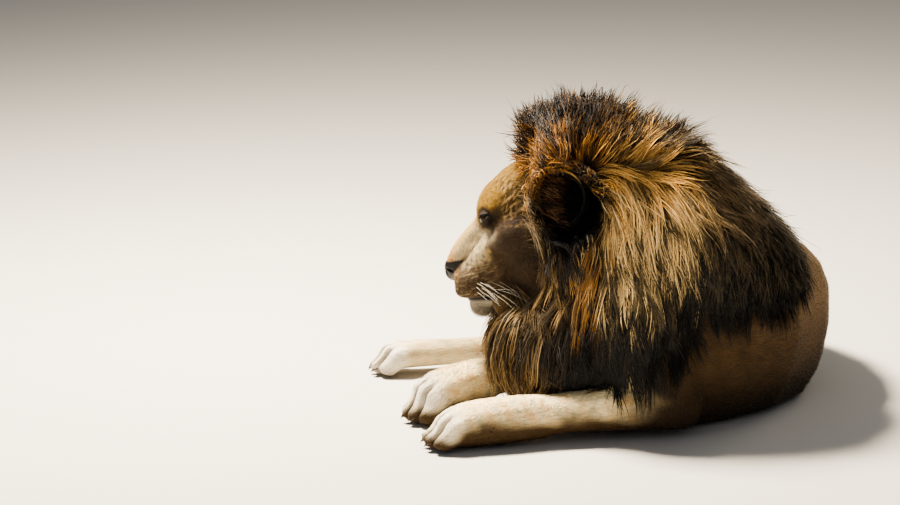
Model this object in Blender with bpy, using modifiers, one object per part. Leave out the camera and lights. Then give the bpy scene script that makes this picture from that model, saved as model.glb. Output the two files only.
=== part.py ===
"""A male lion at rest, life size: a still museum model, as solids.

The lion lies on its chest with its forelegs stretched out in front.  Its hips
have rolled on to the left one, so the trunk curves and both hind legs come out
on its right side.  The head is low and looks along -X.  Flesh, ears, eyes and
mane are separate closed solids that meet with a thin gap.  Metres, +Z up.
"""

import math

import bmesh
import bpy
import numpy as np
from mathutils import Matrix, Vector

# ---------------------------------------------------------------- driving sizes
GAP = 0.0006  # clearance between pieces that meet
SHARP = math.radians(40)  # edges turning more than this stay sharp
MANE_GAP = 0.007  # and between the flesh and the mane over it

# Head: where it is held, and how it is turned.
EYE_MIDPOINT = Vector((0.146, 0.32, 0.487))  # halfway between the two eyes
HEAD_YAW = math.radians(12)  # the muzzle points this much past -X, away from -Y
HEAD_PITCH = math.radians(14)  # and this much down
EYE_SPACING = 0.118
EYE_RADIUS = 0.0185
MOUTH_CORNER = -0.018  # where the mouth ends, along the head
MOUTH_LEVEL = -0.190  # height of the mouth at that corner
MOUTH_RISE = math.radians(4)  # the mouth line climbs forwards by this much

EAR_CENTRE = Vector((-0.203, 0.125, 0.022))  # on the head's left; the right mirrors it
EAR_FACING = Vector((0.30, 0.93, 0.12))
EAR_WIDTH = 0.108
EAR_HEIGHT = 0.120

# Trunk: centre, half width and half height from brisket to rump.
TRUNK = (
    ((0.30, 0.22, 0.20), 0.10, 0.14),
    ((0.42, 0.275, 0.25), 0.175, 0.305),
    ((0.56, 0.33, 0.235), 0.208, 0.315),
    ((0.70, 0.415, 0.205), 0.215, 0.27),
    ((0.785, 0.545, 0.168), 0.205, 0.225),
    ((0.795, 0.71, 0.15), 0.19, 0.205),
    ((0.765, 0.85, 0.135), 0.15, 0.17),
    ((0.74, 0.93, 0.125), 0.095, 0.115),
)
NECK = (
    ((0.48, 0.32, 0.39), 0.14, 0.17),
    ((0.41, 0.30, 0.45), 0.125, 0.15),
    ((0.34, 0.28, 0.505), 0.092, 0.120),
)

# Joints of the legs, top to toes.
FORE_LEFT = ((0.44, 0.16, 0.32), (0.56, 0.125, 0.08), (0.25, 0.07, 0.066), (0.0, 0.02, 0.045))
FORE_RIGHT = ((0.34, 0.41, 0.32), (0.41, 0.52, 0.085), (0.13, 0.30, 0.088), (-0.045, 0.21, 0.052))
HIND_LEFT = ((0.84, 0.70, 0.13), (0.57, 0.78, 0.08), (0.50, 1.02, 0.055), (0.19, 0.94, 0.04))
HIND_RIGHT = ((0.74, 0.77, 0.24), (0.46, 0.63, 0.25), (0.22, 0.71, 0.06), (-0.137, 0.615, 0.045))

# Along a leg's segment: place from 0 to 1, rise, half width, half height.
FORE_UPPER = ((0.0, 0.04, 0.075, 0.125), (0.5, 0.0, 0.072, 0.11), (1.0, 0.0, 0.056, 0.078))
FORE_LOWER = (
    (-0.12, -0.01, 0.050, 0.062), (0.15, 0.0, 0.058, 0.064), (0.6, 0.0, 0.048, 0.052),
    (1.0, 0.0, 0.046, 0.050),
)
FORE_FOOT = (
    (-0.08, -0.004, 0.046, 0.056), (0.25, 0.0, 0.054, 0.060), (0.6, 0.002, 0.062, 0.058),
    (0.8, 0.0, 0.054, 0.050),
)
HIND_UPPER = ((0.0, -0.01, 0.115, 0.155), (0.5, 0.0, 0.105, 0.13), (1.0, 0.0, 0.068, 0.085))
HIND_LOWER = ((-0.05, 0.0, 0.062, 0.078), (0.4, 0.0, 0.052, 0.062), (1.0, 0.0, 0.034, 0.046))
HIND_FOOT = (
    (-0.06, 0.0, 0.032, 0.042), (0.3, -0.010, 0.034, 0.036), (0.65, 0.0, 0.044, 0.040),
    (0.88, -0.002, 0.042, 0.036),
)
FORE_TOE_SPREAD = 0.031  # from one toe to the next
HIND_TOE_SPREAD = 0.026
TOE = (0.034, 0.0165, 0.027)  # half length, half width, half height of one toe
KNUCKLE_RISE = 0.030  # how far each knuckle stands above its toe

TAIL_PATH = (
    (0.735, 0.95, 0.16), (0.755, 1.05, 0.085), (0.76, 1.17, 0.032), (0.70, 1.33, 0.026),
    (0.58, 1.46, 0.024), (0.43, 1.51, 0.024), (0.32, 1.50, 0.024),
)
TAIL_RADII = (0.040, 0.036, 0.030, 0.026, 0.023, 0.021, 0.020)
TUFT_PATH = ((0.38, 1.51, 0.026), (0.30, 1.495, 0.034), (0.21, 1.46, 0.026), (0.16, 1.44, 0.016))
TUFT_RADII = (0.024, 0.045, 0.030, 0.012)

# Mane: a bar from the nape to the loin, and the masses of hair about it.
CAPE = (
    ((0.36, 0.28, 0.54), 0.16, 0.20),
    ((0.48, 0.295, 0.46), 0.215, 0.245),
    ((0.61, 0.335, 0.40), 0.23, 0.215),
    ((0.735, 0.405, 0.345), 0.205, 0.155),
    ((0.81, 0.48, 0.29), 0.15, 0.105),
)
CREST_MASSES = (  # centre in the head's axes, half sizes
    ((-0.172, 0, 0.148), (0.088, 0.085, 0.118)),
    ((-0.275, 0, 0.110), (0.100, 0.110, 0.135)),
)
RUFF = ((-0.205, 0, 0.005), (0.135, 0.185, 0.195))
THROAT_MASS = ((-0.145, 0, -0.225), (0.105, 0.135, 0.100))
CHEEK_MASS = ((-0.215, 0.095, -0.115), (0.115, 0.105, 0.135))  # on the left; mirrored
LOW_MASSES = (  # centre in the model's axes, half sizes
    ((0.325, 0.26, 0.192), (0.205, 0.190, 0.172)),  # bib over the breast
    ((0.455, 0.195, 0.29), (0.175, 0.160, 0.215)),  # fall over the left shoulder
    ((0.38, 0.41, 0.28), (0.17, 0.15, 0.19)),  # fall over the right shoulder
)
EAR_WELL = ((-0.208, 0.160, 0.015), (0.076, 0.095, 0.084))  # hollow left for the ear
CREST_FLOOR = 0.655  # the crest is the mane above this height
BACK_START = 0.50  # the back's mane lies beyond this, along the body
BIB_TOP = 0.30  # the bib is the rest of the mane below this

# Colour in linear light and roughness, by a word in the piece's name.
COLOURS = {
    "eye": ((0.30, 0.14, 0.03), 0.15),
    "nose": ((0.012, 0.010, 0.010), 0.45),
    "ear": ((0.10, 0.055, 0.030), 0.9),
    "crest": ((0.26, 0.12, 0.045), 0.9),
    "mane_back": ((0.10, 0.060, 0.035), 0.9),
    "bib": ((0.22, 0.12, 0.055), 0.9),
    "mane": ((0.30, 0.155, 0.065), 0.9),
    "tuft": ((0.040, 0.022, 0.014), 0.9),
    "foot": ((0.58, 0.43, 0.27), 0.85),
    "fore": ((0.55, 0.38, 0.21), 0.85),
    "head": ((0.48, 0.31, 0.16), 0.85),
    "jaw": ((0.62, 0.52, 0.40), 0.85),
    "": ((0.40, 0.24, 0.115), 0.85),
}


# ---------------------------------------------------------------- making meshes
def clear_scene():
    for obj in list(bpy.data.objects):
        bpy.data.objects.remove(obj, do_unlink=True)


def object_of(name, mesh, collection):
    """An object of triangles from a bmesh, which is freed."""
    bmesh.ops.recalc_face_normals(mesh, faces=mesh.faces)
    bmesh.ops.triangulate(mesh, faces=mesh.faces)
    data = bpy.data.meshes.new(name)
    mesh.to_mesh(data)
    mesh.free()
    obj = bpy.data.objects.new(name, data)
    collection.objects.link(obj)
    return obj


def spline(points, count):
    """Catmull-Rom curve through the rows of points, at count even steps."""
    rows = np.asarray(points, float)
    padded = np.vstack([2 * rows[0] - rows[1], rows, 2 * rows[-1] - rows[-2]])
    places = np.linspace(0, len(rows) - 1, count)
    first = np.minimum(places.astype(int), len(rows) - 2)
    t = (places - first)[:, None]
    a, b, c, d = (padded[first + k] for k in range(4))
    curve = 2 * b + (c - a) * t + (2 * a - 5 * b + 4 * c - d) * t**2
    return 0.5 * (curve + (3 * b - a - 3 * c + d) * t**3)


def tube(name, collection, stations, side, rings=5, segments=10, power=2.0):
    """A bar through stations of (centre, half width, half height), with domed ends.

    Each ring is a superellipse across the path; side is the way its width runs."""
    body = spline([[*centre, wide, high] for centre, wide, high in stations], rings)
    centres, wides, highs = body[:, :3], body[:, 3], body[:, 4]
    along = np.gradient(centres, axis=0)
    along /= np.linalg.norm(along, axis=1)[:, None]
    across = np.asarray(side, float) - (along @ np.asarray(side, float))[:, None] * along
    across /= np.linalg.norm(across, axis=1)[:, None]
    upward = np.cross(along, across)
    turn = np.linspace(0, 2 * math.pi, segments, endpoint=False)
    ring_x = np.sign(np.cos(turn)) * np.abs(np.cos(turn)) ** (2 / power)
    ring_y = np.sign(np.sin(turn)) * np.abs(np.sin(turn)) ** (2 / power)
    mesh = bmesh.new()

    def ring(i, angle, end):
        scale, reach = math.cos(angle), 0.8 * min(wides[i], highs[i]) * math.sin(angle)
        points = (
            centres[i]
            + along[i] * reach * end
            + np.outer(ring_x, across[i]) * wides[i] * scale
            + np.outer(ring_y, upward[i]) * highs[i] * scale
        )
        return [mesh.verts.new(p) for p in points]

    def pole(i, end):
        return mesh.verts.new(centres[i] + along[i] * 0.8 * min(wides[i], highs[i]) * end)

    dome = [math.radians(a) for a in (62, 34)]
    loops = [ring(0, angle, -1) for angle in dome]
    loops += [ring(i, 0, 0) for i in range(rings)]
    loops += [ring(rings - 1, angle, 1) for angle in reversed(dome)]
    first, last = pole(0, -1), pole(rings - 1, 1)
    for k in range(segments):
        n = (k + 1) % segments
        for one, two in zip(loops, loops[1:]):
            mesh.faces.new((one[k], one[n], two[n], two[k]))
        mesh.faces.new((first, loops[0][n], loops[0][k]))
        mesh.faces.new((last, loops[-1][k], loops[-1][n]))
    return object_of(name, mesh, collection)


def ball(name, collection, place, radii, subdivisions=3):
    """An ellipsoid with half axes radii, carried by the matrix place."""
    mesh = bmesh.new()
    bmesh.ops.create_icosphere(mesh, subdivisions=subdivisions, radius=1)
    bmesh.ops.transform(mesh, matrix=place @ Matrix.Diagonal((*radii, 1)), verts=mesh.verts)
    return object_of(name, mesh, collection)


def box(name, collection, place, low, high):
    """A block between two corners, carried by the matrix place."""
    low, high = Vector(low), Vector(high)
    mesh = bmesh.new()
    bmesh.ops.create_cube(mesh, size=1)
    fit = Matrix.Translation((low + high) / 2) @ Matrix.Diagonal((*(high - low), 1))
    bmesh.ops.transform(mesh, matrix=place @ fit, verts=mesh.verts)
    return object_of(name, mesh, collection)


def bounds(obj):
    points = np.array([v.co for v in obj.data.vertices])
    return points.min(axis=0), points.max(axis=0)


def settle(obj):
    """Makes the evaluated mesh the object's own and drops its modifiers."""
    graph = bpy.context.evaluated_depsgraph_get()
    graph.update()
    obj.data = bpy.data.meshes.new_from_object(obj.evaluated_get(graph))
    obj.modifiers.clear()


def fuse(name, pieces, voxel, smooth, triangles):
    """One smooth closed form from overlapping pieces: remeshed, smoothed, thinned."""
    with bpy.context.temp_override(active_object=pieces[0], selected_editable_objects=pieces):
        bpy.ops.object.join()
    whole = pieces[0]
    whole.name = name
    remesh = whole.modifiers.new("one form", "REMESH")
    remesh.mode = "VOXEL"
    remesh.voxel_size = voxel
    soften = whole.modifiers.new("soften", "SMOOTH")
    soften.factor = 0.5
    soften.iterations = smooth
    settle(whole)
    thin = whole.modifiers.new("thin", "DECIMATE")
    thin.ratio = min(1.0, triangles / (2 * len(whole.data.polygons)))
    settle(whole)
    return whole


def spread(body):
    """How wide a set of vertices lies: the sides of its box, multiplied."""
    points = np.array([v.co for v in body])
    return float(np.prod(points.max(axis=0) - points.min(axis=0)))


def keep_largest(obj):
    """Drops every loose scrap but the body with the largest box."""
    mesh = bmesh.new()
    mesh.from_mesh(obj.data)
    waiting, bodies = set(mesh.verts), []
    while waiting:
        body, edge = set(), [waiting.pop()]
        while edge:
            vertex = edge.pop()
            body.add(vertex)
            near = {e.other_vert(vertex) for e in vertex.link_edges} & waiting
            waiting -= near
            edge.extend(near)
        bodies.append(body)
    bodies.sort(key=spread)
    scraps = [v for body in bodies[:-1] for v in body]
    bmesh.ops.delete(mesh, geom=scraps, context="VERTS")
    bmesh.ops.triangulate(mesh, faces=mesh.faces)
    mesh.to_mesh(obj.data)
    mesh.free()


def carve(obj, cutters, grow=GAP, operation="DIFFERENCE"):
    """Takes the cutters, each grown by the gap, out of the object.

    Every form is closed, and the Exact solver loses faces where two cuts nearly
    touch, so the Manifold one does it."""
    for cutter in cutters:
        copy = cutter.copy()
        copy.data = cutter.data.copy()
        bpy.context.scene.collection.objects.link(copy)
        swell = copy.modifiers.new("gap", "DISPLACE")
        swell.strength = grow
        swell.mid_level = 0
        settle(copy)
        boolean = obj.modifiers.new("carve", "BOOLEAN")
        boolean.operation = operation
        boolean.solver = "MANIFOLD"
        boolean.object = copy
        settle(obj)
        bpy.data.objects.remove(copy, do_unlink=True)
    keep_largest(obj)


def press_flat(obj):
    """Cuts away what is under the floor and closes the cut."""
    mesh = bmesh.new()
    mesh.from_mesh(obj.data)
    geometry = mesh.verts[:] + mesh.edges[:] + mesh.faces[:]
    cut = bmesh.ops.bisect_plane(
        mesh, geom=geometry, plane_co=(0, 0, 0), plane_no=(0, 0, 1), clear_inner=True
    )
    edges = [e for e in cut["geom_cut"] if isinstance(e, bmesh.types.BMEdge)]
    if edges:
        bmesh.ops.contextual_create(mesh, geom=edges)
    bmesh.ops.recalc_face_normals(mesh, faces=mesh.faces)
    bmesh.ops.triangulate(mesh, faces=mesh.faces)
    mesh.to_mesh(obj.data)
    mesh.free()


# ---------------------------------------------------------------- the head
def head_place():
    """From head axes (x to the nose, y to its left, z up) to the model's."""
    cos_y, sin_y = math.cos(HEAD_YAW), math.sin(HEAD_YAW)
    cos_p, sin_p = math.cos(HEAD_PITCH), math.sin(HEAD_PITCH)
    forward = Vector((-cos_y * cos_p, sin_y * cos_p, -sin_p))
    left = Vector((-sin_y, -cos_y, 0))
    axes = Matrix((forward, left, forward.cross(left))).transposed().to_4x4()
    return Matrix.Translation(EYE_MIDPOINT) @ axes


def make_head(collection):
    """Cranium, brows, bridge, muzzle, cheeks and jaw as one form."""
    place = head_place()
    side = place.to_3x3() @ Vector((0, 1, 0))
    pieces = []

    def lump(x, y, z, radii, tilt=0.0):
        turn = Matrix.Rotation(math.radians(tilt), 4, "Y")
        for across in {y, -y}:
            where = place @ Matrix.Translation((x, across, z)) @ turn
            pieces.append(ball("lump", collection, where, radii))

    def bar(*stations):
        stations = [(place @ Vector(c), w, h) for c, w, h in stations]
        pieces.append(tube("bar", collection, stations, side, 10, 20, 2.3))

    lump(-0.115, 0, 0.008, (0.130, 0.100, 0.108))  # cranium
    lump(-0.036, 0, 0.016, (0.080, 0.078, 0.066), 30)  # forehead
    bar(((-0.02, 0, -0.015), 0.050, 0.040), ((0.04, 0, -0.043), 0.042, 0.036),
        ((0.09, 0, -0.082), 0.039, 0.036), ((0.118, 0, -0.110), 0.037, 0.030))  # bridge
    bar(((-0.05, 0, -0.105), 0.088, 0.080), ((0.02, 0, -0.120), 0.070, 0.070),
        ((0.075, 0, -0.140), 0.056, 0.050))  # muzzle core
    lump(0.072, 0.040, -0.148, (0.058, 0.040, 0.046), 10)  # whisker pads
    lump(-0.080, 0, -0.140, (0.110, 0.085, 0.085))  # throat
    lump(-0.205, 0, -0.040, (0.080, 0.100, 0.115))  # nape
    lump(-0.012, 0.050, 0.016, (0.044, 0.032, 0.026), 15)  # brows
    lump(0.005, 0.040, -0.088, (0.070, 0.040, 0.050), 30)  # sides of the muzzle
    lump(-0.085, 0.072, -0.048, (0.100, 0.050, 0.052), 8)  # cheekbones
    lump(-0.110, 0.072, -0.115, (0.085, 0.050, 0.085))  # jaw muscles
    lump(-0.020, 0.046, -0.190, (0.095, 0.036, 0.040), -8)  # lower jaw
    lump(0.074, 0, -0.208, (0.042, 0.043, 0.038))  # chin
    return fuse("head", pieces, 0.006, 18, 1050)


def make_jaw(head, collection):
    """Parts the lower jaw from the head along the mouth."""
    hinge = Matrix.Translation((MOUTH_CORNER, 0, MOUTH_LEVEL))
    place = head_place() @ hinge @ Matrix.Rotation(-MOUTH_RISE, 4, "Y")
    jaw = head.copy()
    jaw.data = head.data.copy()
    jaw.name = "jaw"
    collection.objects.link(jaw)
    block = box("block", collection, place, (0, -0.2, -0.2), (0.3, 0.2, 0))
    carve(jaw, [block], 0, "INTERSECT")
    carve(head, [block], 2 * GAP)
    bpy.data.objects.remove(block, do_unlink=True)
    return jaw


def make_nose(collection):
    """The bare pad at the end of the muzzle."""
    place = head_place()
    side = place.to_3x3() @ Vector((0, 1, 0))
    stations = (
        ((0.128, 0, -0.094), 0.030, 0.014),
        ((0.138, 0, -0.116), 0.028, 0.016),
        ((0.132, 0, -0.138), 0.012, 0.014),
    )
    stations = [(place @ Vector(c), w, h) for c, w, h in stations]
    return tube("nose", collection, stations, side, 4, 10, 2.3)


def make_ear(name, collection, sign):
    """A round cup: a bowl's outline turned about the way the ear faces."""
    rim, wall = 1.0, 0.13
    outline = (
        (0.0, -0.62), (0.5, -0.48), (0.86, -0.18), (rim, 0.12), (rim - 0.07, 0.16),
        (rim - wall - 0.02, -0.04), (0.46, -0.32), (0.0, -0.44),
    )
    mesh = bmesh.new()
    steps = 12
    loops = []
    for radius, depth in outline:
        turns = [0.0] if radius == 0 else [2 * math.pi * k / steps for k in range(steps)]
        loops.append([
            mesh.verts.new((
                radius * math.cos(a) * EAR_WIDTH / 2,
                radius * math.sin(a) * EAR_HEIGHT / 2,
                depth * EAR_WIDTH / 2,
            ))
            for a in turns
        ])
    for one, two in zip(loops, loops[1:]):
        for k in range(steps):
            n = (k + 1) % steps
            corners = [one[k % len(one)], one[n % len(one)], two[n % len(two)], two[k % len(two)]]
            mesh.faces.new(dict.fromkeys(corners))
    mirror = Matrix.Diagonal((1, sign, 1, 1))
    facing = (mirror @ EAR_FACING).normalized()
    up = Vector((0.15, 0, 1))
    across = up.cross(facing).normalized()
    axes = Matrix((across, facing.cross(across), facing)).transposed().to_4x4()
    place = head_place() @ Matrix.Translation(mirror @ EAR_CENTRE) @ axes
    bmesh.ops.transform(mesh, matrix=place, verts=mesh.verts)
    return object_of(name, mesh, collection)


def make_eye(name, collection, sign):
    place = head_place() @ Matrix.Translation((0, sign * EYE_SPACING / 2, 0))
    return ball(name, collection, place, (EYE_RADIUS,) * 3, 2)


# ---------------------------------------------------------------- the body
def bar_between(name, collection, start, end, table, side):
    """A leg's segment: the table's widths along the line from start to end."""
    start, end = Vector(start), Vector(end)
    lifted = [(start.lerp(end, t) + Vector((0, 0, rise)), w, h) for t, rise, w, h in table]
    return tube(name, collection, lifted, side, power=2.3)


def make_foot(name, collection, heel, tips, table, apart, triangles):
    """A foot with its four toes as one form; it lies along heel to tips."""
    heel, tips = Vector(heel), Vector(tips)
    ahead = Vector((*(tips - heel).xy, 0)).normalized()
    side = Vector((-ahead.y, ahead.x, 0))
    pieces = [bar_between(name, collection, heel, tips, table, side)]
    axes = Matrix((ahead, side, (0, 0, 1))).transposed().to_4x4()
    for across, back in ((-1.5, 0.020), (-0.5, 0), (0.5, 0), (1.5, 0.020)):
        centre = tips + side * across * apart - ahead * (back + 0.006)
        centre.z = TOE[2] - 0.002
        pieces.append(ball("toe", collection, Matrix.Translation(centre) @ axes, TOE, 2))
        knuckle = centre - ahead * 0.032 + Vector((0, 0, KNUCKLE_RISE))
        size = (0.036, 0.019, 0.032)
        pieces.append(ball("knuckle", collection, Matrix.Translation(knuckle) @ axes, size, 2))
    return fuse(name, pieces, 0.006, 3, triangles)


def make_leg(name, collection, joints, upper, lower, foot, side, apart):
    top, middle, low, tip = joints
    return (
        bar_between(name + "_upper", collection, top, middle, upper, side),
        bar_between(name + "_lower", collection, middle, low, lower, side),
        make_foot(name + "_foot", collection, low, tip, foot, apart, 190),
    )


def make_mane(collection):
    """The whole mane as one form, out to the tips of its hair, hollowed at the ears."""
    place = head_place()
    pieces = [tube("cape", collection, CAPE, (0.35, -0.94, 0), 10, 20)]
    in_head = [*CREST_MASSES, RUFF, THROAT_MASS, *both_sides(CHEEK_MASS)]
    for centre, radii in in_head:
        where = place @ Matrix.Translation(centre)
        pieces.append(ball("mass", collection, where, radii))
    for centre, radii in LOW_MASSES:
        pieces.append(ball("mass", collection, Matrix.Translation(centre), radii))
    mane = fuse("mane", pieces, 0.012, 8, 640)
    for centre, radii in both_sides(EAR_WELL):
        well = ball("well", collection, place @ Matrix.Translation(centre), radii, 2)
        carve(mane, [well])
        bpy.data.objects.remove(well, do_unlink=True)
    return mane


def hollow(mane, flesh):
    """Takes the flesh, as one form a little larger than it is, out of the mane."""
    low, high = bounds(mane)
    copies = []
    for piece in flesh:
        piece_low, piece_high = bounds(piece)
        ear = piece.name.startswith("ear")
        if not ear and (low < piece_high).all() and (piece_low < high).all():
            copy = piece.copy()
            copy.data = piece.data.copy()
            bpy.context.scene.collection.objects.link(copy)
            copies.append(copy)
    form = fuse("form", copies, 0.010, 0, 1200)
    carve(mane, [form], MANE_GAP)
    bpy.data.objects.remove(form, do_unlink=True)
    carve(mane, [piece for piece in flesh if not piece.name.startswith("ear")])


def both_sides(mass):
    (x, y, z), radii = mass
    return ((x, y, z), radii), ((x, -y, z), radii)


def part_mane(mane, collection):
    """The mane in five: crest, back, bib, and the sides of the neck."""
    upright = Matrix.Rotation(-HEAD_YAW, 4, "Z")
    middle = Matrix.Translation((EYE_MIDPOINT.x, EYE_MIDPOINT.y, 0)) @ upright
    level, far = Matrix(), 3.0
    half = GAP / 2
    regions = {
        "mane_crest": [(level, (-far, -far, CREST_FLOOR + half), (far, far, far))],
        "mane_back": [(level, (BACK_START + half, -far, -1), (far, far, CREST_FLOOR - half))],
        "mane_bib": [(level, (-far, -far, -1), (BACK_START - half, far, BIB_TOP - half))],
    }
    neck = (level, (-far, -far, BIB_TOP + half), (BACK_START - half, far, CREST_FLOOR - half))
    regions["mane_left"] = [neck, (middle, (-far, -far, -1), (far, -half, far))]
    regions["mane_right"] = [neck, (middle, (-far, half, -1), (far, far, far))]
    parts = []
    for name, blocks in regions.items():
        part = mane.copy()
        part.data = mane.data.copy()
        part.name = name
        collection.objects.link(part)
        for place, low, high in blocks:
            block = box("block", collection, place, low, high)
            carve(part, [block], 0, "INTERSECT")
            bpy.data.objects.remove(block, do_unlink=True)
        parts.append(part)
    bpy.data.objects.remove(mane, do_unlink=True)
    return parts


# ---------------------------------------------------------------- putting together
def part_from_earlier(pieces):
    """Carves each piece clear of the ones before it in the list that it meets."""
    for i, piece in enumerate(pieces):
        low, high = bounds(piece)
        near = []
        for other in pieces[:i]:
            other_low, other_high = bounds(other)
            if (low < other_high + GAP).all() and (other_low < high + GAP).all():
                near.append(other)
        carve(piece, near)


def centre_on_floor(pieces):
    """Moves the model so that the middle of its outline is over the origin."""
    lows, highs = zip(*(bounds(piece) for piece in pieces))
    low, high = np.min(lows, axis=0), np.max(highs, axis=0)
    shift = Matrix.Translation((-(low[0] + high[0]) / 2, -(low[1] + high[1]) / 2, -low[2]))
    for piece in pieces:
        piece.data.transform(shift)


def finish(obj):
    """Smooth shading between soft creases, and a plain material of the piece's own
    in the first colour whose word fits its name."""
    obj.data.shade_smooth()
    obj.data.set_sharp_from_angle(angle=SHARP)
    colour, roughness = next(look for word, look in COLOURS.items() if word in obj.name)
    material = bpy.data.materials.new(obj.name)
    material.use_nodes = True
    shader = material.node_tree.nodes["Principled BSDF"]
    shader.inputs["Base Color"].default_value = (*colour, 1)
    shader.inputs["Roughness"].default_value = roughness
    obj.data.materials.clear()
    obj.data.materials.append(material)


def main():
    clear_scene()
    lion = bpy.data.collections.new("lion")
    bpy.context.scene.collection.children.link(lion)

    head = make_head(lion)
    jaw = make_jaw(head, lion)
    face = [make_eye("eye_left", lion, 1), make_eye("eye_right", lion, -1), head, jaw]
    face += [make_nose(lion), make_ear("ear_left", lion, 1), make_ear("ear_right", lion, -1)]

    trunk = tube("trunk", lion, TRUNK, (0.8, -0.6, 0), 12, 18, 2.5)
    neck = tube("neck", lion, NECK, (0.3, -0.95, 0), 5, 16)
    fore = FORE_UPPER, FORE_LOWER, FORE_FOOT
    hind = HIND_UPPER, HIND_LOWER, HIND_FOOT
    limbs = [
        *make_leg("fore_left", lion, FORE_LEFT, *fore, (0.25, -0.97, 0), FORE_TOE_SPREAD),
        *make_leg("fore_right", lion, FORE_RIGHT, *fore, (0.63, -0.77, 0), FORE_TOE_SPREAD),
        *make_leg("hind_right", lion, HIND_RIGHT, *hind, (0.3, -0.95, 0), HIND_TOE_SPREAD),
        *make_leg("hind_left", lion, HIND_LEFT, *hind, (0.3, -0.95, 0), HIND_TOE_SPREAD),
    ]
    tail = tube("tail", lion, [(c, r, r) for c, r in zip(TAIL_PATH, TAIL_RADII)],
                (0, 0, 1), 12, 8)
    tuft = tube("tail_tuft", lion, [(c, r, r) for c, r in zip(TUFT_PATH, TUFT_RADII)],
                (0, 0, 1), 5, 8)
    flesh = [trunk, neck, *face, *limbs, tail, tuft]
    for piece in flesh:
        press_flat(piece)
    part_from_earlier(flesh)
    mane = make_mane(lion)
    hollow(mane, flesh)
    pieces = [*flesh, *part_mane(mane, lion)]
    centre_on_floor(pieces)
    for piece in pieces:
        finish(piece)


main()
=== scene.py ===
"""Looks for the resting lion: skin, short coat, mane, eyes, whiskers and claws.

Run as a script.  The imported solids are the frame.  The skin is made from the
flesh solids, the mane's inner wool from the mane solids, and every tuft and lock
is a tapering three-sided spike rooted on one of them.  Lengths are in metres.
"""

import math

import bmesh
import bpy
import numpy as np
from mathutils import Euler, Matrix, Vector
from mathutils.bvhtree import BVHTree
from mathutils.kdtree import KDTree


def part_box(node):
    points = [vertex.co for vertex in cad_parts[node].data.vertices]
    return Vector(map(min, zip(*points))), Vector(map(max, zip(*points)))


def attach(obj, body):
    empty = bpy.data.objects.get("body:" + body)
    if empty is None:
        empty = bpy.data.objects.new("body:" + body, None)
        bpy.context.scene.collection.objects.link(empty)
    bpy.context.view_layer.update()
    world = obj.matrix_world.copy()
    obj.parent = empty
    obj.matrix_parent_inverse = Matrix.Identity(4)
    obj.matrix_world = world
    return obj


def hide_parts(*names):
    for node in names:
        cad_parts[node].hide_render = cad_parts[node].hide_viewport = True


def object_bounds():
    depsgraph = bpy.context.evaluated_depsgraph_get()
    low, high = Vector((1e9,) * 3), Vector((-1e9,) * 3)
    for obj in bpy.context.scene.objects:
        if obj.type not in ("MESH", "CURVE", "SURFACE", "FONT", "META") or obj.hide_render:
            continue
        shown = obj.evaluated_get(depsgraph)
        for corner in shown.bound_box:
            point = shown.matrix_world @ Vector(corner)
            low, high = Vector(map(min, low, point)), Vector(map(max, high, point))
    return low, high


bl_info = {
    "name": "Resting lion",
    "version": (1, 0, 0),
    "blender": (4, 5, 0),
    "location": "3D Viewport > Sidebar > Lion",
    "description": "Makes the skin, coat and mane of a resting male lion",
    "category": "Object",
}

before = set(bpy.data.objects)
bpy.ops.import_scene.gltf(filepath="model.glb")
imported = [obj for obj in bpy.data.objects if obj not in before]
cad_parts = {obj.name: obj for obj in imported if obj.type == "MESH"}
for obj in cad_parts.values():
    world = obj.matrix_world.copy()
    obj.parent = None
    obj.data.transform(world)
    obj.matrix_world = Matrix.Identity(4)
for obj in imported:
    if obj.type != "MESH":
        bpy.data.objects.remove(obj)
CAD_BOX = [list(corner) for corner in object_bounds()]
HAIR_TOP = CAD_BOX[1][2] - 0.014  # hair above this is bent down softly
HAIR_BEND = 0.030  # and rises at most this much more
HAIR_FLOOR = 0.0015  # no hair comes lower than this
PATCH = 0.0015  # half the length of a tuft's patch in OFBake
ALL_TUFTS, QUICK_TUFTS = 1.0, 0.25  # share of the hair made
SMOOTHING = 0.5  # a round of smoothing goes this far to the neighbours' mean
WAVES = 14  # sines in a random field
FLESH_GROWTH, WOOL_GROWTH = 0.003, 0.004  # makes neighbouring solids overlap
WOOL_VOXEL = 0.010
FRINGE_HAIRS, EAR_HAIRS, TAIL_HAIRS = 60000, 150000, 70000  # to the square metre
LONG_LOT, SHORT_LOT = 8500, 19000  # most hairs in one piece, of 22 and of 10 triangles
FLOOR_SIDE, SKY = 30, 0.27  # the floor's side, and the sky's strength
LENS, FILM = 108.7, 36  # millimetres
CAMERA_FROM_TOES = np.array((0.0456, -5.906, 1.942))
CAMERA_DOWN = 14  # degrees

# ------------------------------------------------------------------ places
HEAD_PITCH = math.radians(14)  # how far the muzzle points down
TOES_FROM_EYES = np.array((-0.146, -0.32, -0.487))  # left forefoot's toes on the floor
WHORL = np.array((-0.270, 0.150, 0.095))  # where the mane's lie starts, head axes
NOSE_TIP = np.array((0.150, 0.0, -0.105))
EYE_RADIUS = 0.0185
EYE_SLACK, CORNEA = 0.0006, 0.0016  # the ball's room inside it, and the bulge in front
MOUTH_CORNER = np.array((-0.018, 0.058, -0.190))
MOUTH_RISE = math.radians(4)
EAR_CENTRE = np.array((-0.203, 0.125, 0.022))
EAR_FACING = np.array((0.30, 0.93, 0.12))
EAR_SIZE = (0.060, 0.066)  # half width, half height
EAR_WELL = (0.046, 0.052, 0.055)  # radii of its hollow
TOE_GAP, TOE_GROOVE = 0.0046, 0.0105  # half width and depth of the gaps between toes

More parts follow.
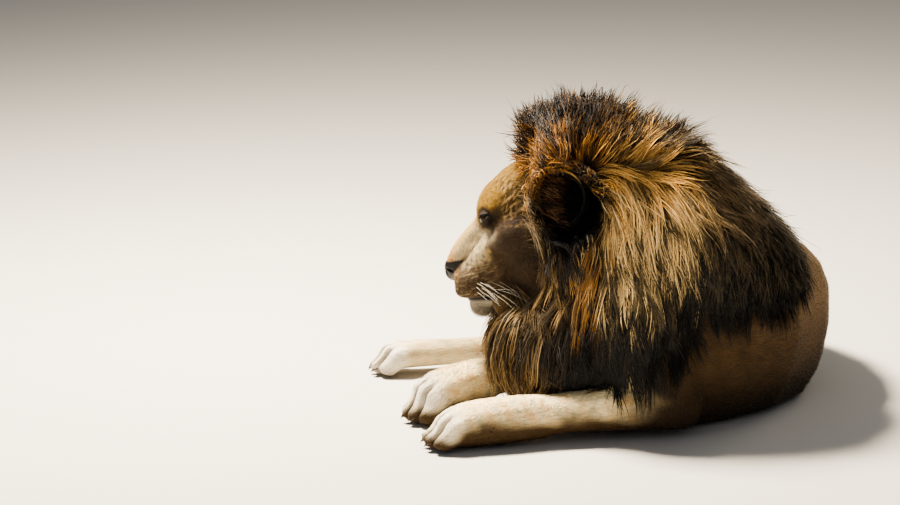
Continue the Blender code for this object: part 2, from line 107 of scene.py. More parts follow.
LEGS = ("fore_left", "fore_right", "hind_left", "hind_right")
FLESH = [
    "trunk", "neck", "head", "jaw", "nose",
    *(f"{leg}_{part}" for leg in LEGS for part in ("upper", "lower", "foot")),
    "tail", "tail_tuft",
]
MANE = ["mane_crest", "mane_back", "mane_bib", "mane_left", "mane_right"]

made = {}  # what one operator makes and a later one needs


# ------------------------------------------------------------------ arithmetic
def unit(v):
    """Each row divided by its length."""
    return v / np.maximum(np.linalg.norm(v, axis=-1, keepdims=True), 1e-12)


def step(x, low, high):
    """0 below low, 1 above high, and 3t²-2t³ between; low may be above high."""
    t = np.clip((x - low) / (high - low), 0, 1)
    return t * t * (3 - 2 * t)


def band(x, *edges):
    """1 between the second edge and the fourth, 0 outside the first and the third."""
    return step(x, *edges[:2]) * step(x, *edges[2:])


def bell(offset, width, power=2):
    """1 where offset is 0, and near 0 from about twice the width on."""
    return np.exp(-((offset / width) ** power))


def waves(points, size, seed):
    """A smooth random field from about -1 to 1: a sum of sines of random heading
    whose wavelengths lie around size."""
    rng = np.random.default_rng(seed)
    heading = unit(rng.normal(size=(WAVES, 3)))
    turns = 2 * math.pi / (size * rng.uniform(0.7, 1.6, WAVES))
    phase = rng.uniform(0, 2 * math.pi, WAVES)
    return np.sin(points @ (heading * turns[:, None]).T + phase).sum(axis=1) / math.sqrt(WAVES)


def linear(code):
    """Linear light from an sRGB hex colour."""
    value = np.array([int(code[i:i + 2], 16) for i in (1, 3, 5)]) / 255
    return np.where(value <= 0.04045, value / 12.92, ((value + 0.055) / 1.055) ** 2.4)


def mix(a, b, share):
    """a where share is 0 and b where it is 1, row by row."""
    return a + (b - a) * np.asarray(share)[..., None]


def blend(a, b, share):
    """As mix, for plain numbers."""
    return a + (b - a) * share


def flattened(vectors, normals):
    """Each vector's part along the surface, as a unit vector."""
    return unit(vectors - normals * (vectors * normals).sum(axis=1)[:, None])


def centre(node):
    low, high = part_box(node)
    return np.array((low + high) / 2)


def hair_share():
    return ALL_TUFTS


# ------------------------------------------------------------------ head axes
def head_frame():
    """The midpoint of the eyes, and rows forward, left and up of the head."""
    left_eye, right_eye = centre("eye_left"), centre("eye_right")
    left = unit(left_eye - right_eye)
    level = np.array((left[1], -left[0], 0.0))
    forward = unit(level) * math.cos(HEAD_PITCH) - np.array((0, 0, math.sin(HEAD_PITCH)))
    return (left_eye + right_eye) / 2, np.array((forward, left, np.cross(forward, left)))


EYES, HEAD = head_frame()
BACKWARD = -unit(HEAD[0] * (1, 1, 0))  # level, away from where the face looks
TOES = EYES + TOES_FROM_EYES


def to_head(points):
    return (points - EYES) @ HEAD.T


def from_head(points):
    return points @ HEAD + EYES


def face_places(points):
    """Places ahead of the eyes, out to either side and above, in head axes."""
    x, y, z = to_head(points).T
    return x, np.abs(y), z


def mirror_of(head_points):
    """Rows that turn what is said of the left side to each point's own side."""
    return np.where(head_points[:, 1:2] < 0, (1, -1, 1), (1, 1, 1))


def mouth_level(x):
    """Height of the mouth line in head axes, at x along the head."""
    return MOUTH_CORNER[2] + math.tan(MOUTH_RISE) * (x - MOUTH_CORNER[0])


# ------------------------------------------------------------------ meshes
def new_object(name, data):
    obj = bpy.data.objects.new(name, data)
    bpy.context.scene.collection.objects.link(obj)
    return obj


def mesh_from(name, points, triangles):
    """A smooth mesh object from arrays of points and of triangles."""
    data = bpy.data.meshes.new(name)
    data.vertices.add(len(points))
    data.vertices.foreach_set("co", np.ascontiguousarray(points, np.float32).ravel())
    data.loops.add(triangles.size)
    data.loops.foreach_set("vertex_index", np.ascontiguousarray(triangles, np.int32).ravel())
    data.polygons.add(len(triangles))
    data.polygons.foreach_set("loop_start", np.arange(0, triangles.size, 3, dtype=np.int32))
    data.polygons.foreach_set("use_smooth", np.ones(len(triangles), bool))
    data.update(calc_edges=True)
    return new_object(name, data)


def read(items, name, width, kind=np.float32):
    """An array of what the items of a mesh hold under that name, a row for each."""
    values = np.empty(len(items) * width, kind)
    items.foreach_get(name, values)
    return values.reshape(-1, width)


def points_of(data):
    return read(data.vertices, "co", 3).astype(float)


def normals_of(data):
    return read(data.vertex_normals, "vector", 3).astype(float)


def edges_of(data):
    return read(data.edges, "vertices", 2, np.int32)


def place_points(data, points):
    data.vertices.foreach_set("co", np.ascontiguousarray(points, np.float32).ravel())
    data.update()


def smoothed(values, edges, rounds, held=None):
    """Each row moved towards the mean of its neighbours, so many times; held is how
    much of each row's move is kept back, from 0 to 1."""
    count = len(values)
    degree = np.bincount(edges.ravel(), minlength=count).clip(1)[:, None]
    pull = SMOOTHING if held is None else SMOOTHING * (1 - held[:, None])
    for _ in range(rounds):
        total = np.stack([
            np.bincount(edges[:, 0], values[edges[:, 1], k], count)
            + np.bincount(edges[:, 1], values[edges[:, 0], k], count)
            for k in range(values.shape[1])
        ], axis=1)
        values = values + pull * (total / degree - values)
    return values


def put(data, name, kind, field, values):
    """A new attribute of the vertices."""
    layer = data.attributes.new(name, kind, "POINT")
    layer.data.foreach_set(field, np.ascontiguousarray(values, np.float32).ravel())


def put_colour(data, colours):
    put(data, "coat", "FLOAT_COLOR", "color", np.insert(colours, 3, 1, axis=1))


def apply_modifiers(obj):
    graph = bpy.context.evaluated_depsgraph_get()
    graph.update()
    obj.data = bpy.data.meshes.new_from_object(obj.evaluated_get(graph))
    obj.modifiers.clear()


def combine(obj, other, operation):
    """Joins the other closed form to the first, or takes it out of it."""
    boolean = obj.modifiers.new(operation, "BOOLEAN")
    boolean.operation, boolean.solver, boolean.object = operation, "MANIFOLD", other
    apply_modifiers(obj)
    bpy.data.objects.remove(other, do_unlink=True)


def closed_grid(rings, steps, turned=False):
    """Triangles of a closed form: rings of so many steps, then a point at each end.
    Turned, they face the other way, and each quad's two stand together."""
    k, j = np.meshgrid(np.arange(rings - 1), np.arange(steps), indexing="ij")
    a, b = (k * steps + j).ravel(), (k * steps + (j + 1) % steps).ravel()
    j = np.arange(steps)
    n, last, end = (j + 1) % steps, (rings - 1) * steps, np.full(steps, rings * steps)
    if turned:
        sides = np.stack([a, b, b + steps, a, b + steps, a + steps], 1)
        caps = np.stack([n, j, end, last + j, last + n, end + 1], 1)
        return np.concatenate([sides.reshape(-1, 3), caps.reshape(-1, 3)])
    return np.concatenate([
        np.stack([a, a + steps, b + steps], 1), np.stack([a, b + steps, b], 1),
        np.stack([end, j, n], 1), np.stack([end + 1, last + n, last + j], 1)])


def one_form(name, nodes, grow, voxel):
    """Copies of CAD nodes, merged and grown to overlap, remeshed as one closed form."""
    whole = bmesh.new()
    for node in nodes:
        piece = bmesh.new()
        piece.from_mesh(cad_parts[node].data)
        bmesh.ops.remove_doubles(piece, verts=piece.verts, dist=1e-5)
        piece.normal_update()
        grown = bpy.data.meshes.new(node)
        piece.to_mesh(grown)
        place_points(grown, points_of(grown) + normals_of(grown) * grow)
        whole.from_mesh(grown)
        bpy.data.meshes.remove(grown)
        piece.free()
    data = bpy.data.meshes.new(name)
    whole.to_mesh(data)
    whole.free()
    obj = new_object(name, data)
    remesh = obj.modifiers.new("one form", "REMESH")
    remesh.mode = "VOXEL"
    remesh.voxel_size = voxel
    apply_modifiers(obj)
    obj.data.shade_smooth()
    return obj


def unwrap(obj):
    """An OFBake map: the form's own surface cut into islands and laid flat."""
    bpy.context.view_layer.objects.active = obj
    obj.select_set(True)
    obj.data.uv_layers.new(name="OFBake")
    bpy.ops.object.mode_set(mode="EDIT")
    bpy.ops.mesh.select_all(action="SELECT")
    bpy.ops.uv.smart_project(angle_limit=math.radians(66), island_margin=0.002)
    bpy.ops.object.mode_set(mode="OBJECT")
    obj.select_set(False)


def refine(obj, chosen):
    """Splits every face whose vertices are all chosen in four."""
    mesh = bmesh.new()
    mesh.from_mesh(obj.data)
    mesh.verts.ensure_lookup_table()
    inside = [f for f in mesh.faces if all(chosen[v.index] for v in f.verts)]
    edges = list({e for f in inside for e in f.edges})
    bmesh.ops.subdivide_edges(mesh, edges=edges, cuts=1, use_grid_fill=True)
    mesh.to_mesh(obj.data)
    mesh.free()
    obj.data.shade_smooth()


def triangles_of(data):
    """Vertices and loops of each triangle."""
    data.calc_loop_triangles()
    return tuple(read(data.loop_triangles, name, 3, np.int32) for name in ("vertices", "loops"))


class Surface:
    """A mesh's arrays, for rooting hair on it."""

    def __init__(self, obj):
        data = obj.data
        self.points, self.normals = points_of(data), normals_of(data)
        self.triangles, loops = triangles_of(data)
        self.uv = read(data.uv_layers["OFBake"].data, "uv", 2)[loops].astype(float)
        corners = self.points[self.triangles]
        across = np.cross(corners[:, 1] - corners[:, 0], corners[:, 2] - corners[:, 0])
        self.area = np.linalg.norm(across, axis=1) / 2

    def scatter(self, density, seed, fields=()):
        """Random roots, so many per square metre at each vertex: points, normals,
        unwrap places, and each field's values there."""
        rng = np.random.default_rng(seed)
        share = self.area * density[self.triangles].mean(axis=1)
        count = int(share.sum())
        ends = np.cumsum(share)
        places = (np.arange(count) + rng.uniform(0, 1, count)) / max(count, 1) * ends[-1]
        chosen = np.searchsorted(ends, places).clip(0, len(share) - 1)
        a, b = rng.uniform(0, 1, (2, count))
        flip = a + b > 1
        a[flip], b[flip] = 1 - a[flip], 1 - b[flip]
        weight = np.stack([1 - a - b, a, b], axis=1)[:, :, None]
        corners = self.triangles[chosen]

        def at(values):
            return (values[corners] * weight).sum(axis=1)

        flat = [(f if f.ndim > 1 else f[:, None]) for f in fields]
        return (at(self.points), unit(at(self.normals)),
                (self.uv[chosen] * weight).sum(axis=1), [at(f) for f in flat])


# ------------------------------------------------------------------ hair
def spikes(name, spine, width, upward, colours, places, flat=0.55, material="hair"):
    """Tapering three-sided spikes as one mesh.

    Spike i follows spine[i, k]; ring k has its three corners at 90, 210 and 330
    degrees about the spine, width[i, k] out along the side and flat times that
    along upward[i], and the last point of the spine is the tip.  Every vertex has
    its own colour, and lies in OFBake in a patch round its root's place."""
    count, length = spine.shape[:2]
    rings = length - 1
    spine[..., 2] = np.clip(spine[..., 2], HAIR_FLOOR, HAIR_TOP) + HAIR_BEND * np.tanh(
        np.maximum(spine[..., 2] - HAIR_TOP, 0) / HAIR_BEND)
    along = unit(np.gradient(spine, axis=1))
    side = unit(np.cross(along, upward[:, None, :]))
    over = np.cross(side, along)
    turns = np.radians((90, 210, 330))
    wide = width[:, :rings, None, None]
    ring = spine[:, :rings, None, :] + wide * (
        np.cos(turns)[:, None] * side[:, :rings, None, :]
        + flat * np.sin(turns)[:, None] * over[:, :rings, None, :]
    )
    each = rings * 3 + 1
    points = np.concatenate([ring.reshape(count, rings * 3, 3), spine[:, -1:, :]], axis=1)
    faces = [(0, 2, 1)]
    for k in range(rings - 1):
        for j in range(3):
            a, b = 3 * k + j, 3 * k + (j + 1) % 3
            faces += [(a, b, b + 3), (a, b + 3, a + 3)]
    top = 3 * (rings - 1)
    faces += [(top + j, top + (j + 1) % 3, each - 1) for j in range(3)]
    faces = (np.array(faces)[None] + (np.arange(count) * each)[:, None, None]).reshape(-1, 3)
    first = points.reshape(-1, 3)[faces[: len(faces) // max(count, 1)]]
    if np.einsum("ij,ij->i", first[:, 0] - points[0, 0],
                 np.cross(first[:, 1] - points[0, 0], first[:, 2] - points[0, 0])).sum() < 0:
        faces = faces[:, ::-1]
    obj = mesh_from(name, points.reshape(-1, 3), faces)
    shade = np.concatenate([np.repeat(colours[:, :rings], 3, axis=1), colours[:, -1:]], axis=1)
    put_colour(obj.data, shade.reshape(-1, 3))
    patch = np.array([((j - 1) / 2, 2 * k / rings - 1) for k in range(rings) for j in range(3)]
                     + [(0, 1)]) * PATCH
    uv = (places[:, None, :] + patch[None]).reshape(-1, 2)
    layer = obj.data.uv_layers.new(name="OFBake")
    layer.data.foreach_set("uv", uv[faces.ravel()].astype(np.float32).ravel())
    obj.data.materials.append(made[material])
    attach(obj, "root")
    return obj


def short_tufts(name, roots, normals, places, lie, length, width, lift, seed):
    """Short tufts: from the root along the lie, rising by lift times the length,
    with a middle point that bows outwards, and a little lighter towards the tip."""
    rng = np.random.default_rng(seed)
    count = len(roots)
    heading = flattened(lie + rng.normal(0, 0.16, (count, 3)), normals)
    length = (length * rng.uniform(0.7, 1.25, count))[:, None]
    rise = (lift * rng.uniform(0.5, 1.6, count))[:, None]
    root = roots - normals * np.minimum(0.0012, 0.07 * length)
    middle = roots + heading * length * 0.45 + normals * length * rise * 0.62
    tip = roots + heading * length + normals * length * rise
    spine = np.stack([root, middle, tip], axis=1)
    widths = width[:, None] * np.array((1.0, 0.75)) * rng.uniform(0.8, 1.2, (count, 1))
    tint = coat_colour(roots)[:, None, :] * np.array((0.95, 1.08, 1.2))[None, :, None]
    tint = tint * rng.normal(1, 0.10, (count, 1, 1)).clip(0.6, 1.5)
    return spikes(name, spine, widths, normals, tint, places)


# ------------------------------------------------------------------ colours
TINTS = {name: linear(code) for name, code in {
    # shaded_flank is the flank's tan, darkened part-way by painted shade; sunlit_rump is the
    # rump's tan, lightened by painted sunlight. shade is a dark brown used for painted shade, and
    # also for dark mottles on the muzzle and forelegs.
    "shaded_flank": "#5a452b", "sunlit_rump": "#846b49", "shade": "#33271a",
    # leg_lit_top is the legs' cream, lightened by painted light; leg_shaded_side is their lower
    # side, darkened by painted shade.
    "leg_lit_top": "#fdeaba", "leg_tan": "#cf9d5c", "leg_shaded_side": "#43331e", "toes": "#dedad2",
    # gap_shade_and_spots is a dark brown for painted shade between the toes, round the eye and
    # over the lids, and for the whisker spots.
    "gap_shade_and_spots": "#2a211a",
    "forehead": "#7e6020", "bridge": "#b3965f", "nose_end": "#a37848", "muzzle": "#aa9a79",
    # shaded_cheek is the cheek's grey-brown, darkened further by painted shade; chin is the chin's
    # pale coat, darkened by painted shade.
    "pad": "#4f3f2c", "shaded_cheek": "#33261a", "chin": "#7f796e", "under_eye": "#c0b196",
    "black": "#0b0908", "orange": "#8c5f1e", "gold": "#efbf70", "pale_gold": "#f0d196",
    # ear is near-black: painted shade in the ear's hollow, and black hair with painted shade below
    # and behind the ear.
    "dark": "#150f09", "back": "#67553c", "frost": "#807259", "ear": "#0c0907",
    "bib": "#a0855a", "inner_ear": "#6b3a22",
}.items()}

SPOT_ROWS, SPOT_COLUMNS = 0.0105, 0.012  # spacing of the whiskers' roots

# The mane's markings: distance behind the whorl, then height from it.
CAP_LINE = ((-0.20, -0.14, -0.10, -0.05, 0.04, 0.13, 0.20, 0.26, 0.31, 0.35, 0.40),
            (0.045, 0.060, 0.068, 0.075, 0.065, 0.045, 0.00, -0.055, -0.13, -0.22, -0.40))
LOW_LINE = ((-0.20, -0.10, 0.0, 0.04, 0.13, 0.22, 0.29, 0.34, 0.5),
            (-0.36, -0.37, -0.36, -0.36, -0.345, -0.30, -0.23, -0.17, -0.20))


def feet():
    """For each foot: its heading, its side, how far its toes reach along the heading,
    its middle across it, and the spacing of its toes."""
    found = []
    for leg, spacing in zip(LEGS, (0.031, 0.031, 0.026, 0.026)):
        points = points_of(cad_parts[leg + "_foot"].data)
        level = points[:, :2] - points[:, :2].mean(axis=0)
        heading = np.linalg.svd(level, full_matrices=False)[2][0]
        heading = np.array((*heading, 0.0)) * (-1 if heading[0] > 0 else 1)
        side = np.array((-heading[1], heading[0], 0.0))
        reach = (points @ heading).max()
        across = (points @ side)[points @ heading > reach - 0.05]
        found.append((heading, side, reach, (across.min() + across.max()) / 2, spacing,
                      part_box(leg + "_foot")))
    return found


FEET = feet()
TAIL_END = centre("tail_tuft") - TOES
TAIL_TUFT = np.linalg.norm(np.subtract(*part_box("tail_tuft"))) / 2  # half its length


def ear_axes(sign=1):
    """Rows across the ear, up it and the way it faces, in head axes."""
    facing = unit(EAR_FACING * (1, sign, 1))
    across = unit(np.cross((0.15, 0, 1), facing))
    return np.array((across, np.cross(facing, across), facing))


def ear_places(head_points):
    """How far out from the middle of the ear's opening, 1 at its rim, and places
    across it and up it, as if both ears were the left one."""
    offset = head_points * mirror_of(head_points) - EAR_CENTRE
    a, b, ahead = ear_axes() @ offset.T
    return np.where(np.abs(ahead) < 0.09, np.hypot(a / EAR_SIZE[0], b / EAR_SIZE[1]), 9.0), a, b


def toe_fields(points):
    """How far in a gap between two toes, and how near the toes, each from 0 to 1."""
    gap, near = np.zeros(len(points)), np.zeros(len(points))
    for heading, side, reach, middle, spacing, (low, high) in FEET:
        inside = ((points > np.array(low) - 0.01) & (points < np.array(high) + 0.01)).all(axis=1)
        behind = reach - points @ heading
        across = (points @ side - middle) / spacing
        off = (across - np.round(across)) * spacing
        ahead = step(behind, 0.085, 0.050) * inside
        gap = np.maximum(gap, bell(off, TOE_GAP) * ahead * (np.abs(across) < 1.5))
        near = np.maximum(near, step(behind, 0.12, 0.06) * inside)
    return gap, near


def paint(tint, *coats):
    """The tint under one coat after another: pairs of a colour's name and its share."""
    for name, share in coats:
        tint = mix(tint, TINTS[name], share)
    return tint


def body_colour(points):
    """The short coat's colour on trunk, legs and tail, with painted shade on the flank, belly, leg
    sides, soles, toe gaps and behind the elbow, and painted light on the rump and the legs' tops.
    """
    along, across, high = (points - TOES).T
    tint = TINTS["shaded_flank"] * (1 + 0.10 * waves(points, 0.05, 3)[:, None])
    # Painted shade: darker towards the floor, on the belly and the low flank.
    tint = tint * (1 - 0.68 * step(high, 0.18, 0.03))[:, None]
    ragged = 0.02 * waves(points, 0.05, 6)
    fore = step(across, 0.56, 0.50)
    leg = step(high, 0.21, 0.14) * step(along + ragged, 0.56, 0.45) * fore
    hind = (1 - fore) * step(high + 2 * ragged, 0.25, 0.06) * step(across, 1.12, 1.06)
    hind = hind * (0.25 + 0.5 * step(along, 0.60, 0.05))
    leg = np.maximum(leg, hind * step(along + 3 * ragged, 0.78, 0.60))
    leg = leg * step(across, 1.10, 1.07)
    gap, toes = toe_fields(points)
    # Painted light and shade on the legs: lit cream on top and shaded brown on the lower side, by
    # height.
    top = step(high + 0.006 * waves(points, 0.06, 4) + 0.025 * toes, 0.046, 0.094)
    top = np.maximum(top, 0.7 * (1 - fore))
    patch = waves(points, 0.030, 12) + 0.5 * waves(points, 0.012, 13)
    from_tuft = np.linalg.norm(points - TOES - TAIL_END, axis=1) - TAIL_TUFT
    # Painted sunlight: the rump lighter on top.
    tint = paint(tint, ("sunlit_rump", step(along, 0.70, 0.84) * step(high, 0.16, 0.30)))
    return paint(
        mix(tint, mix(TINTS["leg_shaded_side"], TINTS["leg_lit_top"], top), leg),
        ("toes", 0.75 * toes * top),
        ("leg_tan", 0.60 * leg * top * step(patch, -0.2, 1.4) * (1 - 0.7 * toes)),
        # Dark mottles on the forelegs, in the shade tint.
        ("shade", 0.35 * leg * fore * step(patch, -0.4, -1.6) * (1 - toes)),
        ("shade", 0.75 * np.maximum(leg, toes) * step(high, 0.030, 0.006)),  # painted shade low down by the floor, at the soles
        ("dark", step(from_tuft, 0.03, -0.02)),
        ("shade", 0.65 * band(along, 0.40, 0.50, 0.68, 0.58) * step(high, 0.16, 0.10)
         * step(across, 0.40, 0.30)),  # painted shade behind the elbow, under the mane
        # Painted shade in the gaps between the toes.
        ("gap_shade_and_spots", gap))


def whisker_spots(x, z):
    """1 in the spots that lie in rows along the muzzle's pad."""
    row = (z - mouth_level(x)) / SPOT_ROWS
    off = ((x + 0.003 * np.round(row)) / SPOT_COLUMNS) % 1 - 0.5
    spot = bell((row - np.round(row)) * SPOT_ROWS, 0.0022) * bell(off * SPOT_COLUMNS, 0.0026)
    return spot * band(x, 0.03, 0.05, 0.13, 0.115) * (row > 0.6) * (row < 5.5)


def face_colour(points):
    """The short coat's colour on the head, and that of its bare skin, with painted shade on the
    cheek, chin and lids, round the eye and low on the forehead.
    """
    head = to_head(points)
    x, y, z = face_places(points)
    speck, mottle = waves(points, 0.012, 5), waves(points, 0.016, 7)
    # cheek_shade marks the cheek behind the eye: its own grey-brown, darkened further by painted
    # shade.
    cheek_shade = step(z + 0.012 * waves(points, 0.05, 3) + 0.010 * speck, 0.012, -0.022)
    cheek_shade = cheek_shade * step(x + 0.010 * speck, 0.030, 0.004)
    strand = waves(np.stack([x + z, 0.4 * y, 0.22 * (x - z)], axis=1), 0.0055, 9)
    temple = step(x + 0.006 * speck, -0.022, -0.060)
    temple = temple * step(z - 0.2 * x + 0.01 * speck, 0.115, 0.070)
    grizzle = mix(TINTS["dark"], TINTS["bib"], step(strand, -0.4, 1.2))
    pad = step(z + 0.010 * mottle, -0.084, -0.116) * step(x, -0.012, 0.012)
    lines = waves(head * (0.5, 0.5, 1.6), 0.009, 10)
    below = mouth_level(x) - z
    brow_shadow = bell(x + 0.004 + 0.35 * z, 0.028, 4) * bell(z + 0.003, 0.025, 4)
    distance, facing, _, _ = eye_fields(head)
    tint = paint(
        TINTS["forehead"],
        # Painted shade at the bottom of the forehead behind the eye.
        ("shade", 0.75 * step(z, 0.050, 0.008) * step(x, -0.010, -0.035)),
        ("shaded_cheek", cheek_shade * (0.95 - 0.12 * step(speck, 0.6, 1.4))))
    tint = mix(tint, grizzle, 0.75 * temple * (1 - cheek_shade) * step(z, -0.05, -0.02))
    tint = paint(
        tint,
        ("muzzle", step(x, 0.0, 0.035) * step(z, 0.01, -0.03)),
        ("pad", pad * step(y, 0.016, 0.028) * (1 - 0.42 * step(lines, 0.1, 1.2))),
        # Dark mottling of the whisker pad, its own marking, in the shade tint.
        ("shade", 0.45 * step(mottle, 0.45, 1.2) * step(y, 0.02, 0.035)
         * step(z, -0.03, -0.06)),
        ("bridge", step(y, 0.034, 0.020) * step(x, 0.0, 0.03)),
        ("nose_end", 0.8 * step(x, 0.095, 0.125) * step(z, -0.15, -0.10)),
        ("under_eye", 0.8 * bell(x - 0.010, 0.022) * bell(z + 0.040, 0.016)))
    return paint(
        tint * (1 + 0.10 * speck[:, None]),
        # The whisker spots, the muzzle's own marking.
        ("gap_shade_and_spots", 0.8 * whisker_spots(x, z) * (y > 0.025)),
        # The chin's pale coat, darkened by painted shade.
        ("chin", step(below, 0.000, 0.008) * step(x, 0.0, 0.05)),
        # Painted brow shadow round the eye.
        ("gap_shade_and_spots", 0.96 * brow_shadow * step(y, 0.014, 0.026)),
        # Painted shade over the lids.
        ("gap_shade_and_spots", 0.9 * step(distance, 0.034, 0.025) * (facing > 0)),
        ("black", lip_line(x, y, z)),
        ("black", eye_rim(head)),
        ("black", nose_pad(x, y, z)))


def coat_colour(points):
    """The short coat's colour at each point, by place on the body and the face."""
    head = to_head(points)
    x, y, z = face_places(points)
    reach, a, b = ear_places(head)
    face = step(x, -0.24, -0.16) * step(z, -0.34, -0.28) * (y < 0.2)
    tint = mix(body_colour(points), face_colour(points), face)
    # Painted shade on the skin under the mane: the mane's colour at 0.4.
    tint = mix(tint, mane_colour(points) * 0.4, under_mane(head))
    return paint(
        tint,
        # Painted shade in the ear's hollow.
        ("ear", step(reach, 1.06, 0.98)),
        ("gold", 0.5 * bell(reach - 1.0, 0.05) * step(b - 0.3 * a, 0.0, 0.03)))


def under_mane(head):
    """1 on the skin of the skull behind the hairline, where long hair grows."""
    x, _, z = head.T
    return step(x + 0.3 * z, -0.09, -0.13) * step(x, -0.34, -0.30) * step(z, -0.10, -0.04)


def lip_line(x, y, z):
    """1 on the dark line of the mouth and on the lower lip's edge, 0 away from it."""
    below = mouth_level(x) - z
    line = band(below, -0.0065, -0.002, 0.013, 0.006) * (y < 0.1)
    return line * step(x, MOUTH_CORNER[0] - 0.014, MOUTH_CORNER[0])


def nose_pad(x, y, z):
    """1 on the bare pad at the end of the muzzle."""
    edge = 0.040 - 0.50 * np.clip(-0.110 - z, 0, 1)
    front = np.minimum(0.088 + 0.75 * np.clip(-0.094 - z, 0, 1), 0.111)
    pad = step(x, front - 0.003, front + 0.003) * step(z, -0.087, -0.093)
    return pad * step(z, -0.152, -0.146) * step(y, edge + 0.002, edge - 0.002)


def mane_places(points):
    """Distance behind the whorl of each point's own side, height from it, and the
    vector from it."""
    away = points - from_head(WHORL * mirror_of(to_head(points)))
    return away @ BACKWARD, away[:, 2], away


def mane_colour(points):
    """The mane: orange above the ear, a dark cap, gold behind the ear and falling
    below it, black round the ear from black hair and painted shade, black under the
    gold, and a grey-brown back."""
    u, w, _ = mane_places(points)
    reach, a, b = ear_places(to_head(points))
    rough = 0.018 * waves(points, 0.06, 8) + 0.012 * waves(points, 0.02, 9)
    golden = step(u + rough, 0.02, 0.07) * step(w + rough, 0.09, 0.0)
    cap = step(w - np.interp(u, *CAP_LINE) + rough, -0.02, 0.03)
    cap = np.maximum(cap, bell(u + 0.005, 0.020) * step(w, 0.015, 0.06))
    low = step(np.interp(u, *LOW_LINE) - w + rough, -0.03, 0.04)
    return paint(
        TINTS["orange"],
        ("gold", golden),
        ("pale_gold", golden * step(w + rough, -0.04, -0.16)),
        ("bib", step(u, 0.02, -0.03) * step(w + rough, -0.05, -0.14)),
        ("dark", 0.95 * cap),
        ("back", step(u + rough, 0.22, 0.32) * step(w + rough, -0.34, -0.26)),
        ("dark", low * (1 - 0.65 * step(u, -0.02, -0.10))),
        # Black round and below the ear: black hair, darkened further by painted shade.
        ("ear", ear_shade(u, w, rough)),
        ("dark", 0.85 * step(reach, 1.55, 1.15) * step(b - 0.2 * a, 0.04, 0.0)))


def ear_shade(u, w, rough):
    """1 in the hollow below and behind the ear, black from its black hair and painted shade, 0
    away from it.
    """
    hollow = np.hypot((u + 0.015 - 0.10 * (w + 0.11)) / 0.058, (w + 0.135) / 0.140)
    return step(hollow + 4 * rough, 1.10, 0.80)


# ------------------------------------------------------------------ the eyes' opening
EYE_LOOKS = unit(np.array((0.80, 0.58, 0.03)))  # left eye, head axes
LID_HALF = 0.0165  # half the length of the opening between the lids
LID_UP, LID_DOWN = 0.0042, 0.0040
LID_OVER, LID_EDGE, LID_LEAST = 0.0024, 0.0016, 0.0018  # lid over the ball, and at its edge
EYE_WELL = 0.007  # how far the skin lies inside the ball in the opening


def eye_fields(head_points):
    """About each eye: distance from its centre, the direction from it, and places
    along and up the opening, as if both were the left one."""
    offset = head_points * mirror_of(head_points) - (0, made["eye_half"], 0)
    distance = np.linalg.norm(offset, axis=1)
    along = np.array((-0.45, 0.62, 0.42))
    along = unit(along - EYE_LOOKS * (along @ EYE_LOOKS))
    up = np.cross(EYE_LOOKS, along)
    up = up if up[2] > 0 else -up
    towards = offset / distance[:, None]
    return distance, towards @ EYE_LOOKS, offset @ along, offset @ up


def eye_gap(a, b):
    """Signed distance inside the opening: an almond between two arcs."""
    reach = np.clip(1 - (a / LID_HALF) ** 2, 0, 1)
    upper, lower = LID_UP * reach ** 0.8, -LID_DOWN * reach ** 0.9
    inside = np.minimum(upper - b, b - lower)
    past = np.hypot(np.maximum(np.abs(a) - LID_HALF, 0), b)
    return np.where(np.abs(a) < LID_HALF, inside, -past)


def eye_rim(head_points):
    """1 on the black rim of the lids and the tear line running down from them."""
    distance, facing, a, b = eye_fields(head_points)
    near = (distance < 0.034) & (facing > 0.2)
    rim = step(eye_gap(a, b), -0.0085, -0.0050) * near
    tear = bell(b + 0.0035 - 0.30 * (a + LID_HALF), 0.0035) * (distance < 0.045)
    tear = tear * band(a, -0.036, -0.030, -0.012, -0.018)
    return np.maximum(rim, 0.9 * tear * (facing > 0))


# ------------------------------------------------------------------ materials
def node(tree, kind, links=(), **values):
    """Adds a node of that kind.  Values named as attributes are set on it, others on
    its inputs; links join (input, output socket) pairs."""
    made_node = tree.nodes.new(kind)
    for key, value in values.items():
        if hasattr(made_node, key):
            setattr(made_node, key, value)
        else:
            made_node.inputs[key.replace("_", " ")].default_value = value
    for name, brow_shadow in links:
        tree.links.new(brow_shadow, made_node.inputs[name])
    return made_node


def new_material(name, roughness, specular, ior=1.5):
    """A material with a Principled shader, and its tree and shader."""
    material = bpy.data.materials.new(name)
    material.use_nodes = True
    tree = material.node_tree
    shader = tree.nodes["Principled BSDF"]
    shader.inputs["Roughness"].default_value = roughness
    shader.inputs["Specular IOR Level"].default_value = specular
    shader.inputs["IOR"].default_value = ior
    return material, tree, shader


def attribute(tree, name, output="Fac"):
    return node(tree, "ShaderNodeAttribute", attribute_name=name).outputs[output]


def object_place(tree):
    return node(tree, "ShaderNodeTexCoord").outputs["Object"]


def grained(tree, shader, colour, place, low, high, span=(0.3, 0.7), **noise):
    """Base colour from low to high times as light, by the noise that is given back."""
    grain = node(tree, "ShaderNodeTexNoise", [("Vector", place)], **noise).outputs["Fac"]
    share = node(tree, "ShaderNodeMapRange", [("Value", grain)],
                 From_Min=span[0], From_Max=span[1], To_Min=low, To_Max=high)
    lighten = node(tree, "ShaderNodeHueSaturation", [("Color", colour),
                                                     ("Value", share.outputs["Result"])])
    tree.links.new(lighten.outputs["Color"], shader.inputs["Base Color"])
    return grain


def bumped(tree, shader, height, strength, distance):
    bump = node(tree, "ShaderNodeBump", [("Height", height)],
                Strength=strength, Distance=distance)
    tree.links.new(bump.outputs["Normal"], shader.inputs["Normal"])


